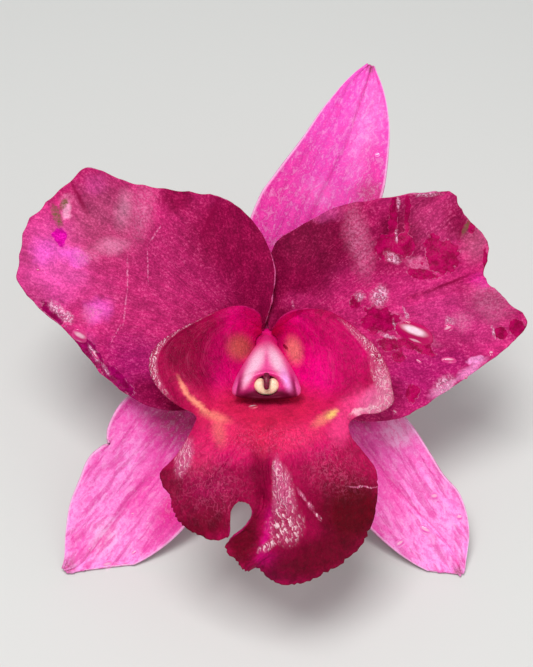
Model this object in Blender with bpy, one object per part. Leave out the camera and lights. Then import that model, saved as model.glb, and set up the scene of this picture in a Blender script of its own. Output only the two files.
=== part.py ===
"""A picked cattleya bloom that leans back on its two lower sepals and on the end of its flower stalk.

Every point is given in millimetres on the flower's own face: to the right, up, and out towards
whoever looks into the bloom. One empty leans that face back until the three low points touch down.
"""

import math

import bmesh
import bpy
import numpy as np
from mathutils import Vector

MM = 0.001
LEAN_BACK = math.radians(42)
FACE_HEIGHT = 40.45  # the flower's middle above the surface that it rests on
FACE_ASIDE = -1.49  # with the next, sets the origin under the middle of the bloom
FACE_FORWARD = 1.82

HUB_UP = -2.5
HUB_RADIUS = 3.0
HUB_FRONT = -1.0
SEAT = 0.3  # the gap that every piece keeps to what carries it

SHEET = 0.95  # thickness of a petal at its base
MARGIN_SHARE = 0.75  # of that thickness, left at the outer edge
SEPAL_OUT = -3.2
PETAL_OUT = -1.75
LIP_OUT = -0.6

# Left petal: its edge from the top beside the column, round the left, to the lower side.
LEFT_PETAL = [
    (0, 1.2, 7.0, 1.6),
    (1, 1.9, 14.1, 2.5),
    (2, -0.7, 21.7, 2.6),
    (3, -5.9, 27.8, 2.2),
    (4, -12.5, 31.0, 2.8),
    (5, -22.5, 32.2, 2.6),
    (6, -32.0, 34.2, 1.6),
    (6.6, -37.4, 36.5, 0.7),
    (7, -40.9, 37.0, 0.0),
    (7.3, -43.8, 34.8, -0.3),
    (8, -49.6, 29.6, -0.8),
    (8.5, -53.1, 25.9, -1.2),
    (9, -54.8, 22.4, -1.6),
    (9.6, -55.4, 16.4, -1.9),
    (10, -55.5, 12.2, -2.0),
    (10.2, -55.0, 10.8, -2.0),
    (11, -51.9, 6.4, -1.6),
    (12, -44.8, 0.6, 0.2),
    (13, -37.2, -8.8, 2.2),
    (14, -27.2, -15.8, 2.0),
    (15, -17.1, -17.1, 1.0),
    (16, -9.3, -13.8, 0.0),
    (17, -3.4, -7.4, -1.2),
]
# Right petal: the same way round its own side, with the notch at the end of its midrib.
RIGHT_PETAL = [
    (0, 0.3, 7.5, -1.2),
    (1, 0.3, 14.2, -0.8),
    (2, 1.9, 19.8, -0.4),
    (3, 5.2, 22.7, 0.4),
    (4, 15.2, 27.9, 2.0),
    (5, 25.1, 30.0, 3.0),
    (6, 36.5, 31.6, 1.5),
    (7, 41.8, 31.6, 0.0),
    (8, 44.4, 26.6, 0.2),
    (9, 49.4, 20.2, 1.4),
    (10, 48.9, 12.4, 3.0),
    (11, 52.0, 8.6, 2.6),
    (12, 58.5, 3.2, 0.0),
    (13, 54.9, -2.4, -1.0),
    (14, 45.4, -9.2, 1.0),
    (15, 36.4, -15.4, 3.0),
    (16, 28.6, -19.0, 2.0),
    (17, 18.7, -19.0, 0.0),
    (18, 8.6, -13.4, -0.8),
    (19, 3.6, -7.6, -1.4),
]
# Sepals: how far along, then left and right edge across the face, then how far out the middle is.
DORSAL_SEPAL = [
    (0.0, -2.2, 1.3, 2.6, 0.8, SEPAL_OUT),
    (0.12, -3.7, 9.2, 7.9, 4.8, -3.5),
    (0.26, -4.9, 20.3, 17.4, 11.4, -4.0),
    (0.42, -1.8, 30.8, 22.9, 21.8, -5.0),
    (0.56, 2.0, 36.5, 26.3, 31.0, -5.8),
    (0.7, 8.0, 44.5, 27.7, 39.0, -6.6),
    (0.84, 14.1, 53.2, 28.1, 49.0, -7.4),
    (0.94, 19.8, 59.5, 26.6, 56.6, -7.9),
    (1.0, 23.2, 61.9, 24.7, 61.3, -8.2),
]
LEFT_SEPAL = [
    (0.0, -4.0, -3.3, -1.0, -6.4, SEPAL_OUT),
    (0.15, -13.5, -6.5, -3.0, -15.0, -3.4),
    (0.3, -23.0, -10.8, -5.6, -23.0, -4.0),
    (0.42, -32.2, -14.9, -8.6, -30.5, -4.8),
    (0.52, -36.2, -21.6, -12.6, -36.5, -5.5),
    (0.57, -36.8, -24.8, -15.2, -39.8, -5.8),
    (0.62, -39.9, -27.5, -18.0, -43.4, -6.0),
    (0.72, -42.8, -33.5, -23.2, -48.5, -6.3),
    (0.81, -45.0, -39.4, -29.0, -52.2, -6.2),
    (0.89, -45.9, -46.2, -35.0, -54.5, -5.8),
    (0.96, -46.0, -51.2, -40.6, -55.3, -5.2),
    (1.0, -46.4, -53.4, -45.2, -54.4, -4.8),
]
RIGHT_SEPAL = [
    (0.0, 1.0, -6.4, 4.0, -3.3, SEPAL_OUT),
    (0.15, 4.6, -16.0, 14.0, -6.8, -3.4),
    (0.3, 8.6, -24.5, 23.5, -11.7, -4.0),
    (0.45, 14.0, -33.5, 32.0, -19.6, -5.0),
    (0.6, 20.5, -41.2, 37.4, -27.4, -5.8),
    (0.7, 26.5, -47.2, 40.3, -32.1, -5.8),
    (0.8, 32.5, -51.8, 44.2, -36.9, -5.4),
    (0.9, 38.6, -54.8, 46.1, -44.7, -4.9),
    (1.0, 43.6, -56.0, 44.9, -54.0, -4.6),
]

# Lip: five lines round it, from the foot of the column to the edge.
LIP_FOOT = [
    (0, -1.2, 0.35, LIP_OUT),
    (3, -2.3, -0.6, LIP_OUT),
    (7, -2.8, -2.2, LIP_OUT),
    (14, -2.2, -4.0, LIP_OUT),
    (29, 0.0, -4.9, LIP_OUT),
    (45, 2.2, -4.0, LIP_OUT),
    (50, 2.8, -2.2, LIP_OUT),
    (54, 2.3, -0.6, LIP_OUT),
    (57, 1.2, 0.35, LIP_OUT),
]
LIP_TUBE = [
    (0, -1.1, 0.9, 0.6),
    (3, -4.2, 0.6, 2.2),
    (7, -5.6, -2.4, 3.4),
    (12, -5.4, -5.6, 4.6),
    (16, -4.0, -7.6, 6.0),
    (23, -2.0, -8.9, 7.4),
    (29, 0.0, -9.3, 8.0),
    (36, 2.2, -8.9, 7.4),
    (42, 4.2, -7.6, 6.0),
    (46, 5.6, -5.6, 4.6),
    (50, 5.8, -2.4, 3.4),
    (54, 4.4, 0.6, 2.2),
    (57, 1.2, 0.7, 0.6),
]
LIP_MOUTH = [
    (0, -1.1, 1.3, 1.4),
    (3, -5.2, 2.8, 5.2),
    (7, -9.5, -2.2, 8.4),
    (12, -9.0, -9.0, 11.5),
    (16, -7.5, -13.0, 15.0),
    (23, -4.0, -14.8, 17.6),
    (29, 0.0, -15.4, 18.6),
    (36, 4.0, -14.8, 17.6),
    (42, 7.8, -13.2, 15.0),
    (46, 9.6, -9.6, 11.5),
    (50, 10.0, -2.4, 8.6),
    (54, 5.6, 2.6, 5.2),
    (57, 1.25, 0.9, 1.4),
]
LIP_THROAT = [
    (0, -1.1, 1.5, 2.0),
    (3, -5.7, 3.8, 6.6),
    (7, -13.0, -1.9, 11.2),
    (9, -13.6, -5.8, 12.6),
    (12, -11.8, -11.0, 14.6),
    (14, -11.0, -15.2, 18.5),
    (16, -11.0, -18.6, 22.4),
    (19, -8.6, -20.8, 26.0),
    (23, -5.0, -22.2, 28.4),
    (29, -0.4, -23.4, 28.4),
    (35, 4.6, -22.4, 28.5),
    (38, 8.6, -20.8, 26.0),
    (42, 11.6, -18.4, 22.4),
    (45, 12.0, -14.8, 18.0),
    (47, 13.6, -11.8, 14.8),
    (50, 14.2, -4.4, 12.0),
    (52, 12.0, -0.6, 10.2),
    (54, 7.2, 3.6, 6.8),
    (57, 1.3, 1.0, 2.0),
]
LIP_BLADE = [
    (0, -1.05, 1.7, 2.5),
    (3, -6.2, 4.6, 7.6),
    (7, -16.5, -1.6, 12.8),
    (9, -17.5, -6.8, 14.6),
    (12, -14.0, -12.6, 17.0),
    (14, -13.0, -17.0, 21.5),
    (16, -14.8, -22.8, 26.0),
    (19, -12.6, -28.0, 28.6),
    (22, -9.5, -30.2, 29.6),
    (24, -6.4, -30.2, 29.8),
    (25.5, -3.8, -30.0, 29.8),
    (27, -1.2, -33.0, 29.3),
    (29, 0.0, -37.5, 28.5),
    (31, 0.8, -40.5, 28.4),
    (33, 2.2, -42.3, 28.4),
    (35, 5.0, -42.6, 28.4),
    (38, 11.0, -38.5, 28.0),
    (41, 16.0, -30.5, 26.8),
    (43, 15.0, -23.5, 25.6),
    (45, 14.6, -17.6, 21.0),
    (47, 18.6, -13.4, 17.0),
    (50, 18.6, -5.4, 14.0),
    (52, 15.4, -0.4, 12.0),
    (54, 9.0, 4.2, 8.4),
    (57, 1.35, 1.1, 2.5),
]
LIP_EDGE = [
    (0, -1.0, 1.9, 3.0),
    (1, -1.4, 4.2, 6.0),
    (2, -3.8, 5.7, 8.0),
    (3, -6.8, 6.0, 9.0),
    (4, -11.1, 4.6, 10.0),
    (5, -15.4, 2.5, 11.0),
    (6, -19.6, 0.3, 12.5),
    (7, -22.7, -1.8, 14.0),
    (8, -24.8, -4.6, 15.0),
    (9, -24.9, -8.2, 16.0),
    (10, -23.5, -10.9, 17.0),
    (11, -21.3, -13.4, 18.0),
    (12, -18.1, -15.6, 19.0),
    (13, -15.2, -16.8, 20.5),
    (14, -14.7, -18.4, 22.5),
    (15, -17.2, -23.4, 25.2),
    (16, -20.8, -27.6, 25.5),
    (17, -21.2, -30.3, 25.5),
    (18, -18.8, -32.9, 26.5),
    (19, -17.9, -36.0, 27.0),
    (20, -16.0, -38.4, 27.0),
    (21, -13.2, -40.0, 27.0),
    (22, -9.8, -40.9, 28.0),
    (23, -7.8, -39.8, 28.5),
    (24, -7.7, -36.4, 29.0),
    (25, -5.8, -34.1, 29.5),
    (26, -3.4, -34.6, 29.5),
    (27, -2.9, -37.2, 29.0),
    (28, -5.0, -39.9, 28.5),
    (29, -7.4, -42.6, 27.7),
    (30, -8.2, -44.8, 27.0),
    (31, -6.2, -46.6, 26.5),
    (32, -4.4, -48.6, 26.0),
    (33, -2.2, -48.0, 26.0),
    (34, 0.7, -50.4, 25.5),
    (35, 3.8, -51.6, 25.0),
    (36, 8.0, -51.0, 25.0),
    (37, 13.0, -48.7, 25.0),
    (38, 17.4, -46.2, 24.0),
    (39, 20.8, -42.0, 23.0),
    (40, 22.4, -37.0, 23.0),
    (41, 23.0, -32.0, 23.0),
    (42, 22.5, -28.0, 23.0),
    (43, 20.0, -24.6, 23.0),
    (44, 17.6, -21.5, 22.0),
    (45, 17.2, -18.8, 20.5),
    (46, 19.8, -17.2, 18.0),
    (47, 24.0, -16.9, 15.5),
    (48, 27.2, -14.8, 14.5),
    (49, 26.8, -11.5, 15.0),
    (50, 26.0, -7.6, 15.5),
    (51, 23.8, -3.5, 15.0),
    (52, 20.6, -0.2, 13.5),
    (53, 16.2, 3.4, 11.0),
    (54, 11.6, 5.3, 9.5),
    (55, 6.6, 5.2, 8.5),
    (56, 3.2, 3.6, 6.5),
    (57, 1.4, 1.2, 3.0),
]

# Column: how far out, then its ridge, its widest level, its underside and its half width.
COLUMN = [
    (-0.7, -0.3, -2.0, -3.9, 1.9),
    (1.6, -0.9, -2.6, -4.8, 2.3),
    (4.0, -1.6, -3.3, -5.8, 2.9),
    (9.0, -3.3, -5.2, -8.1, 4.5),
    (14.0, -5.0, -7.8, -10.8, 6.3),
    (18.0, -6.6, -10.3, -13.0, 7.4),
    (20.2, -7.6, -11.6, -13.8, 7.7),
]
CAP_UP = -10.85
CAP_OUT = 20.2
CAP_RADII = (2.6, 2.0, 1.6)
POCKET_DEPTH = 2.2
CHEEK = 1.5  # width of the swelling beside the anther cap
TOOTH = [(-8.1, 20.5, 0.7), (-8.9, 22.0, 0.62), (-9.8, 22.3, 0.7), (-10.7, 22.25, 0.62)]

# Stalk and ovary: how far out, then how far up its middle lies and its radius.
STALK = [
    (-1.0, -2.5, 3.0),
    (-4.4, -2.5, 3.0),
    (-7.0, -2.5, 2.9),
    (-11.0, -2.6, 2.6),
    (-16.0, -3.2, 2.7),
    (-21.0, -4.4, 2.6),
    (-26.0, -6.2, 2.3),
    (-31.0, -8.6, 2.0),
    (-36.0, -11.8, 1.9),
    (-40.0, -15.2, 1.9),
    (-43.0, -18.6, 1.9),
]
RIBS = 6
RIB_HEIGHT = 0.07  # as a share of the ovary's radius


def curve(knots, places):
    """Smooth curve through the knots, whose first number says where each one lies along it."""
    knots = np.array(knots, float)
    at, values = knots[:, 0], knots[:, 1:]
    slopes = np.gradient(values, at, axis=0)
    places = np.clip(np.asarray(places, float), at[0], at[-1])
    i = np.clip(np.searchsorted(at, places, side="right") - 1, 0, len(at) - 2)
    step = (at[i + 1] - at[i])[:, None]
    x = (places[:, None] - at[i][:, None]) / step
    start = (1 + 2 * x) * (1 - x) ** 2
    leave = x * (1 - x) ** 2 * step
    end = x**2 * (3 - 2 * x)
    arrive = x**2 * (x - 1) * step
    return start * values[i] + leave * slopes[i] + end * values[i + 1] + arrive * slopes[i + 1]


def fan(rings):
    """Surface that opens from its first ring of knots to its last: rings are (how far, knots)."""
    far = [ring[0] for ring in rings]
    last = rings[-1][1][-1][0]

    def surface(across, along):
        lines = np.stack([curve(knots, across * last) for _, knots in rings])
        flat = np.column_stack([far, lines.reshape(len(far), -1)])
        return curve(flat, along).reshape(len(along), len(across), 3).transpose(1, 0, 2)

    return surface


def strip(stations, channel):
    """Long leaf-like surface between two edges, hollowed along its middle by channel."""

    def surface(across, along):
        rows = curve(stations, along)
        left = np.column_stack([rows[:, 0], rows[:, 1], rows[:, 4]])
        right = np.column_stack([rows[:, 2], rows[:, 3], rows[:, 4]])
        share = across[:, None, None]
        points = left * (1 - share) + right * share
        bow = 4 * across * (1 - across)
        points[:, :, 2] -= channel * np.outer(bow, np.sin(math.pi * np.clip(along, 0, 1)))
        return points

    return surface


def material(name, colour, roughness):
    made = bpy.data.materials.new(name)
    made.use_nodes = True
    made.diffuse_color = (*colour, 1.0)
    shader = made.node_tree.nodes["Principled BSDF"]
    shader.inputs["Base Color"].default_value = (*colour, 1.0)
    shader.inputs["Roughness"].default_value = roughness
    shader.inputs["Metallic"].default_value = 0.0
    return made


def finish(name, bm, parent, made_of, sharp=math.radians(50)):
    """Turns the face's millimetres into an object under the leaning empty."""
    bmesh.ops.scale(bm, vec=(MM, MM, MM), verts=bm.verts)
    bmesh.ops.recalc_face_normals(bm, faces=bm.faces)
    mesh = bpy.data.meshes.new(name)
    bm.to_mesh(mesh)
    bm.free()
    mesh.materials.append(made_of)
    mesh.shade_smooth()
    mesh.set_sharp_from_angle(angle=sharp)
    made = bpy.data.objects.new(name, mesh)
    made.parent = parent
    bpy.context.collection.objects.link(made)
    return made


def sheet(name, surface, cells, ruffle, parent, made_of):
    """Thin blade: a grid laid on the surface, waved by ruffle, then given its thickness."""
    bm = bmesh.new()
    bmesh.ops.create_grid(bm, x_segments=cells[0], y_segments=cells[1], size=0.5)
    across = np.linspace(0, 1, cells[0] + 1)
    along = np.linspace(0, 1, cells[1] + 1)
    points = surface(across, along)
    points[:, :, 2] += ruffle(across[:, None], along[None, :])
    thin = bm.verts.layers.deform.verify()
    for vert in bm.verts:
        column = round((vert.co.x + 0.5) * cells[0])
        row = round((vert.co.y + 0.5) * cells[1])
        vert.co = Vector(points[column, row])
        vert[thin][0] = 1.0 - along[row] ** 2
    bmesh.ops.triangulate(bm, faces=bm.faces, quad_method="SHORT_EDGE")
    made = finish(name, bm, parent, made_of)
    made.vertex_groups.new(name="thick")
    solid = made.modifiers.new("thickness", "SOLIDIFY")
    solid.thickness = SHEET * MM
    solid.offset = 0.0
    solid.vertex_group = "thick"
    solid.thickness_vertex_group = MARGIN_SHARE
    solid.use_rim = True
    return made


def waves(height, count, phase, power=4):
    """Ruffle that grows towards the outer edge."""

    def ruffle(across, along):
        swing = np.sin(2 * math.pi * count * across + phase)
        swing = swing + 0.5 * np.sin(2 * math.pi * 1.7 * count * across + 2.1 * phase)
        fade = np.clip(np.minimum(across, 1 - across) * 8, 0, 1)
        return height * swing * fade * along**power

    return ruffle


def claw(start, stop, last):
    """Ring of a petal's base round the hub, between two angles in degrees."""
    reach = HUB_RADIUS + SEAT + 0.1
    ring = []
    for share in (0.0, 0.33, 0.67, 1.0):
        angle = math.radians(start + (stop - start) * share)
        right = reach * math.cos(angle)
        up = HUB_UP + reach * math.sin(angle)
        ring.append((last * share, right, up, PETAL_OUT))
    return ring


def between(inner, outer, share, lift):
    """Ring part of the way from one ring to another, lifted out by hand-set amounts."""
    at = [knot[0] for knot in lift]
    points = curve(inner, at) * (1 - share) + curve(outer, at) * share
    points[:, 2] += [knot[1] for knot in lift]
    return np.column_stack([at, points]).tolist()


def ring_body(bm, loops):
    """Closed skin over loops of equal length, with a cap on each end."""
    rings = [[bm.verts.new(point) for point in loop] for loop in loops]
    count = len(rings[0])
    for near, far in zip(rings, rings[1:]):
        for i in range(count):
            j = (i + 1) % count
            bm.faces.new((near[i], near[j], far[j], far[i]))
    bm.faces.new(rings[0])
    bm.faces.new(rings[-1])


def turn(count):
    return [2 * math.pi * i / count for i in range(count)]


def make_left_petal(parent, made_of):
    base = claw(100, 212, 17)
    lift = [(0, 0.4), (3, 1.6), (6, 2.2), (8, 1.0), (10, 2.0), (14, 2.4), (17, 0.2)]
    rings = [(0.0, base), (0.5, between(base, LEFT_PETAL, 0.5, lift)), (1.0, LEFT_PETAL)]
    sheet("petal_left", fan(rings), (34, 17), waves(0.9, 6, 0.6), parent, made_of)


def make_right_petal(parent, made_of):
    base = claw(80, -34, 19)
    lift = [(0, -0.2), (4, 1.4), (7, 2.2), (10, 0.2), (13, 2.2), (16, 2.6), (19, 0.0)]
    rings = [(0.0, base), (0.5, between(base, RIGHT_PETAL, 0.5, lift)), (1.0, RIGHT_PETAL)]
    sheet("petal_right", fan(rings), (38, 17), waves(0.9, 7, 1.9), parent, made_of)


def make_sepals(parent, made_of):
    still = waves(0.35, 3, 0.4)
    sheet("dorsal_sepal", strip(DORSAL_SEPAL, 1.6), (10, 24), still, parent, made_of)
    sheet("lateral_sepal_left", strip(LEFT_SEPAL, 1.6), (10, 24), still, parent, made_of)
    sheet("lateral_sepal_right", strip(RIGHT_SEPAL, 1.6), (10, 24), still, parent, made_of)


def make_lip(parent, made_of):
    rings = [
        (0.0, LIP_FOOT),
        (0.16, LIP_TUBE),
        (0.32, LIP_MOUTH),
        (0.48, LIP_THROAT),
        (0.76, LIP_BLADE),
        (1.0, LIP_EDGE),
    ]
    sheet("lip", fan(rings), (57, 19), waves(0.5, 13, 0.3, 8), parent, made_of)


def column_loop(station, count):
    out, ridge, middle, under, half = station
    loop = []
    for angle in turn(count):
        rise = math.cos(angle)
        reach = math.sin(angle)
        if rise > 0:
            up = middle + (ridge - middle) * rise**1.3
        else:
            up = middle - (middle - under) * math.sqrt(-rise)
        loop.append((half * reach, up, out))
    return loop


def oval(up, out, wide, high, count):
    return [(wide * math.sin(a), up + high * math.cos(a), out) for a in turn(count)]


def make_column(parent, made_of):
    count = 24
    wide, high, _ = CAP_RADII
    bm = bmesh.new()
    loops = [column_loop(station, count) for station in COLUMN]
    out, ridge, middle, under, half = COLUMN[-1]
    rim = column_loop((out + 0.7, ridge - 0.3, middle, under + 0.3, half - 0.5), count)
    groove = column_loop((out + 0.3, ridge - 0.5, middle, under + 0.6, half - 1.6), count)
    sunk = [0.8 * (1 - math.cos(angle)) for angle in turn(count)]
    loops.append(rim)
    loops.append([(x, up, level - deep) for (x, up, level), deep in zip(groove, sunk)])
    loops.append(oval(CAP_UP, out + 0.7, wide + SEAT + CHEEK, high + SEAT + 0.45, count))
    loops.append(oval(CAP_UP, out + 0.4, wide + SEAT, high + SEAT, count))
    loops.append(oval(CAP_UP, CAP_OUT - POCKET_DEPTH + 0.3, wide + SEAT, high + SEAT, count))
    loops.append(oval(CAP_UP, CAP_OUT - POCKET_DEPTH, wide * 0.4, high * 0.4, count))
    ring_body(bm, loops)
    column = finish("column", bm, parent, made_of)
    tooth = make_tooth(parent, made_of)
    join = column.modifiers.new("tooth over the cap", "BOOLEAN")
    join.operation = "UNION"
    join.object = tooth


def make_tooth(parent, made_of):
    """Tooth that hangs from the hood over the middle of the cap, and that the column is joined to."""
    bm = bmesh.new()
    loops = []
    for (up, out, radius), (rise, reach) in zip(TOOTH, ((0.5, 0.5), (0.9, 0.4), (1, 0), (1, 0))):
        loop = []
        for angle in turn(12):
            side = radius * math.sin(angle)
            deep = 0.75 * radius * math.cos(angle)
            loop.append((side, up + deep * reach, out + deep * rise))
        loops.append(loop)
    ring_body(bm, loops)
    tooth = finish("tooth_guide", bm, parent, made_of)
    tooth.hide_render = True
    tooth.display_type = "WIRE"
    return tooth


def make_cap(parent, made_of):
    bm = bmesh.new()
    bmesh.ops.create_uvsphere(bm, u_segments=20, v_segments=12, radius=1.0)
    wide, high, deep = CAP_RADII
    for vert in bm.verts:
        cleft = math.exp(-((vert.co.x / 0.42) ** 2))
        right = wide * vert.co.x
        up = high * vert.co.y * (1 - 0.12 * cleft)
        out = deep * vert.co.z * (1 - 0.45 * cleft)
        vert.co = Vector((right, CAP_UP + up, CAP_OUT + out))
    finish("anther_cap", bm, parent, made_of)


def make_stalk(parent, made_of):
    count = 24
    bm = bmesh.new()
    path = curve([(row[0], row[1], row[2]) for row in reversed(STALK)], stalk_levels())
    loops = []
    for out, (up, radius) in zip(stalk_levels(), path):
        ahead = curve([(row[0], row[1]) for row in reversed(STALK)], [out + 0.4])[0, 0]
        behind = curve([(row[0], row[1]) for row in reversed(STALK)], [out - 0.4])[0, 0]
        tilt = math.atan2(ahead - behind, 0.8) if out < -6 else 0.0
        ribbed = RIB_HEIGHT * min(max((-out - 6) / 4, 0), 1) * min(max((out + 34) / 8, 0), 1)
        loop = []
        for angle in turn(count):
            reach = radius * (1 + ribbed * math.cos(RIBS * angle))
            side = reach * math.sin(angle)
            rise = reach * math.cos(angle)
            loop.append((side, up + rise * math.cos(tilt), out - rise * math.sin(tilt)))
        loops.append(loop)
    ring_body(bm, loops)
    finish("ovary_stalk", bm, parent, made_of)


def stalk_levels():
    return [-43.0 + 2.1 * i for i in range(20)] + [-2.6, HUB_FRONT - 0.3, HUB_FRONT]


def rest_on_floor(names):
    """Cuts the pieces that touch down level with the surface, so that each has a flat spot."""
    bm = bmesh.new()
    bmesh.ops.create_cube(bm, size=1.0)
    bmesh.ops.scale(bm, vec=(0.3, 0.3, 0.04), verts=bm.verts)
    bmesh.ops.translate(bm, vec=(0, 0, -0.02), verts=bm.verts)
    mesh = bpy.data.meshes.new("floor_cut")
    bm.to_mesh(mesh)
    bm.free()
    cutter = bpy.data.objects.new("floor_cut", mesh)
    cutter.hide_render = True
    cutter.display_type = "WIRE"
    bpy.context.collection.objects.link(cutter)
    for name in names:
        cut = bpy.data.objects[name].modifiers.new("flat spot", "BOOLEAN")
        cut.operation = "DIFFERENCE"
        cut.object = cutter
        cut.solver = "MANIFOLD"


def main():
    for old in list(bpy.data.objects):
        bpy.data.objects.remove(old, do_unlink=True)
    leaning = bpy.data.objects.new("leaning_face", None)
    leaning.rotation_euler = (LEAN_BACK, 0.0, 0.0)
    leaning.location = (FACE_ASIDE * MM, FACE_FORWARD * MM, FACE_HEIGHT * MM)
    bpy.context.collection.objects.link(leaning)
    petal = material("crimson petal", (0.42, 0.02, 0.11), 0.45)
    sepal = material("orchid pink sepal", (0.80, 0.14, 0.47), 0.45)
    lip = material("deep crimson lip", (0.36, 0.006, 0.06), 0.4)
    pale = material("pale pink column", (0.85, 0.38, 0.60), 0.4)
    cream = material("cream anther cap", (0.90, 0.66, 0.45), 0.5)
    green = material("green ovary and stalk", (0.30, 0.38, 0.12), 0.5)
    make_stalk(leaning, green)
    make_sepals(leaning, sepal)
    make_left_petal(leaning, petal)
    make_right_petal(leaning, petal)
    make_lip(leaning, lip)
    make_column(leaning, pale)
    make_cap(leaning, cream)
    rest_on_floor(["lateral_sepal_left", "lateral_sepal_right", "ovary_stalk"])


main()
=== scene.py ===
# %% [markdown]
# A picked cattleya bloom leans back on its two lower sepals and on the end of its stalk. Three pink
# sepals stand behind, two broad crimson petals spread over them, and the third petal, the lip, rolls
# round the pale column in the middle. The solids of the same pieces are loaded first, so that every
# finer piece made here can be laid exactly where its solid is.

# %% Load the solids
import math

import bmesh
import bpy
import numpy as np
from mathutils import Matrix, Vector, noise


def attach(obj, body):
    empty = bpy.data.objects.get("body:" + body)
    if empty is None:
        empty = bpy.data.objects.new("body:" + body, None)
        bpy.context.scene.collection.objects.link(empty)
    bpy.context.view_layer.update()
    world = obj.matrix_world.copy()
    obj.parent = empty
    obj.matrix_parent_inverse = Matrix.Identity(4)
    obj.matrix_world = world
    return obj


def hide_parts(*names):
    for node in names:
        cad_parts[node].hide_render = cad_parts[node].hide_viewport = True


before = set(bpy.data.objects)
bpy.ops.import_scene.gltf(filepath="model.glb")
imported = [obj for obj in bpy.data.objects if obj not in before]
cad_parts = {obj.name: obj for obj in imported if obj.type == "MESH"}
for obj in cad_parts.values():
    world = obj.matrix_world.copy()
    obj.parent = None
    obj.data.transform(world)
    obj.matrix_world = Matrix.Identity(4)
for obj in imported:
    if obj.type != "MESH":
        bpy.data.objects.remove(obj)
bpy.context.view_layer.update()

print("solids:", ", ".join(sorted(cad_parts)))

# %% [markdown]
# The bloom is easiest to describe looking straight into it: so far to the right, so far up, and so
# far out towards the eye, in millimetres. One turn of 42 degrees and one shift lay that face back.
# The camera stands straight in front of the face, so it looks down on a bloom that lies on a table.

# %% The leaning face, and the camera in front of it
MM = 0.001
LEAN_BACK = math.radians(42)
MIDDLE = Vector((-1.49, 1.82, 40.45)) * MM
TURN = Matrix.Rotation(LEAN_BACK, 3, "X")


def to_world(points):
    """Places on the face, in millimetres, as places in the room, in metres."""
    return np.asarray(points, float) * MM @ np.array(TURN).T + np.array(MIDDLE)


EYE_OUT = 300
PICTURE_ROWS = 667
ROW_HIGH = 0.2237  # millimetres of the flower that one row of the picture takes in

scene = bpy.context.scene
lens = bpy.data.cameras.new("eye")
lens.sensor_width = 36
lens.lens = lens.sensor_width * EYE_OUT / (PICTURE_ROWS * ROW_HIGH)
lens.clip_start = 0.01
eye = bpy.data.objects.new("eye", lens)
eye.location = Vector(to_world([0, 0, EYE_OUT]))
eye.rotation_euler = (LEAN_BACK, 0, 0)
scene.collection.objects.link(eye)
scene.camera = eye
print("camera", round(lens.lens, 1), "mm lens,", EYE_OUT, "mm from the flower")

# %% [markdown]
# A petal could be drawn as a photograph on a flat card, but it would have no form from the side. It
# is drawn here as a real blade would be measured: a few rings of points run round it, from the
# narrow base to the outer edge, and smooth curves join them. The sepals are simpler, so theirs are
# stations along the blade, each with its two edges.

# %% Smooth curves and surfaces


def curve(knots, places):
    """Smooth curve through the knots, whose first number says where each one lies along it."""
    knots = np.array(knots, float)
    at, values = knots[:, 0], knots[:, 1:]
    slopes = np.gradient(values, at, axis=0)
    places = np.clip(np.asarray(places, float), at[0], at[-1])
    i = np.clip(np.searchsorted(at, places, side="right") - 1, 0, len(at) - 2)
    step = (at[i + 1] - at[i])[:, None]
    x = (places[:, None] - at[i][:, None]) / step
    start, end = (1 + 2 * x) * (1 - x) ** 2, x**2 * (3 - 2 * x)
    leave, arrive = x * (1 - x) ** 2 * step, x**2 * (x - 1) * step
    return start * values[i] + leave * slopes[i] + end * values[i + 1] + arrive * slopes[i + 1]


def fan(rings):
    """Surface that opens from its first ring of knots to its last: rings are (how far, knots)."""
    far = [ring[0] for ring in rings]
    last = rings[-1][1][-1][0]

    def surface(across, along):
        lines = np.stack([curve(knots, across * last) for _, knots in rings])
        flat = np.column_stack([far, lines.reshape(len(far), -1)])
        return curve(flat, along).reshape(len(along), len(across), 3).transpose(1, 0, 2)

    return surface


def strip(stations, channel):
    """Long leaf-like surface between two edges, hollowed along its middle by channel."""

    def surface(across, along):
        rows = curve(stations, along)
        left = np.column_stack([rows[:, 0], rows[:, 1], rows[:, 4]])
        right = np.column_stack([rows[:, 2], rows[:, 3], rows[:, 4]])
        share = across[:, None, None]
        points = left * (1 - share) + right * share
        bow = 4 * across * (1 - across)
        points[:, :, 2] -= channel * np.outer(bow, np.sin(math.pi * np.clip(along, 0, 1)))
        return points

    return surface


# %% [markdown]
# The petals grow from a small hub behind the column. Their knots run round the edge, from the top
# beside the column to the lower side, and the third number says how far out that edge stands.

# %% The two petals
HUB_UP = -2.5
HUB_REACH = 3.4
SEPAL_OUT, PETAL_OUT, LIP_OUT = -3.2, -1.75, -0.6  # the level at which each kind of blade starts

LEFT_PETAL = [
    (0, 1.2, 7, 1.6), (1, 1.9, 14.1, 2.5), (2, -0.7, 21.7, 2.6), (3, -5.9, 27.8, 2.2),
    (4, -12.5, 31, 2.8), (5, -22.5, 32.2, 2.6), (6, -32, 34.2, 1.6), (6.6, -37.4, 36.5, 0.7),
    (7, -40.9, 37, 0), (7.3, -43.8, 34.8, -0.3), (8, -49.6, 29.6, -0.8), (8.5, -53.1, 25.9, -1.2),
    (9, -54.8, 22.4, -1.6), (9.6, -55.9, 16.6, -1.9), (10, -56.4, 12.4, -2), (10.2, -55.4, 10.6, -2),
    (11, -51.9, 6.4, -1.6), (12, -44.8, 0.6, 0.2), (13, -37.2, -8.8, 2.2), (14, -27.2, -15.8, 2),
    (15, -17.1, -17.1, 1), (16, -9.3, -13.8, 0), (17, -3.4, -7.4, -1.2),
]
LEFT_SWELL = [(0, 0.4), (3, 1.6), (6, 2.2), (8, 1), (10, 2), (14, 2.4), (17, 0.2)]
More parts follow.
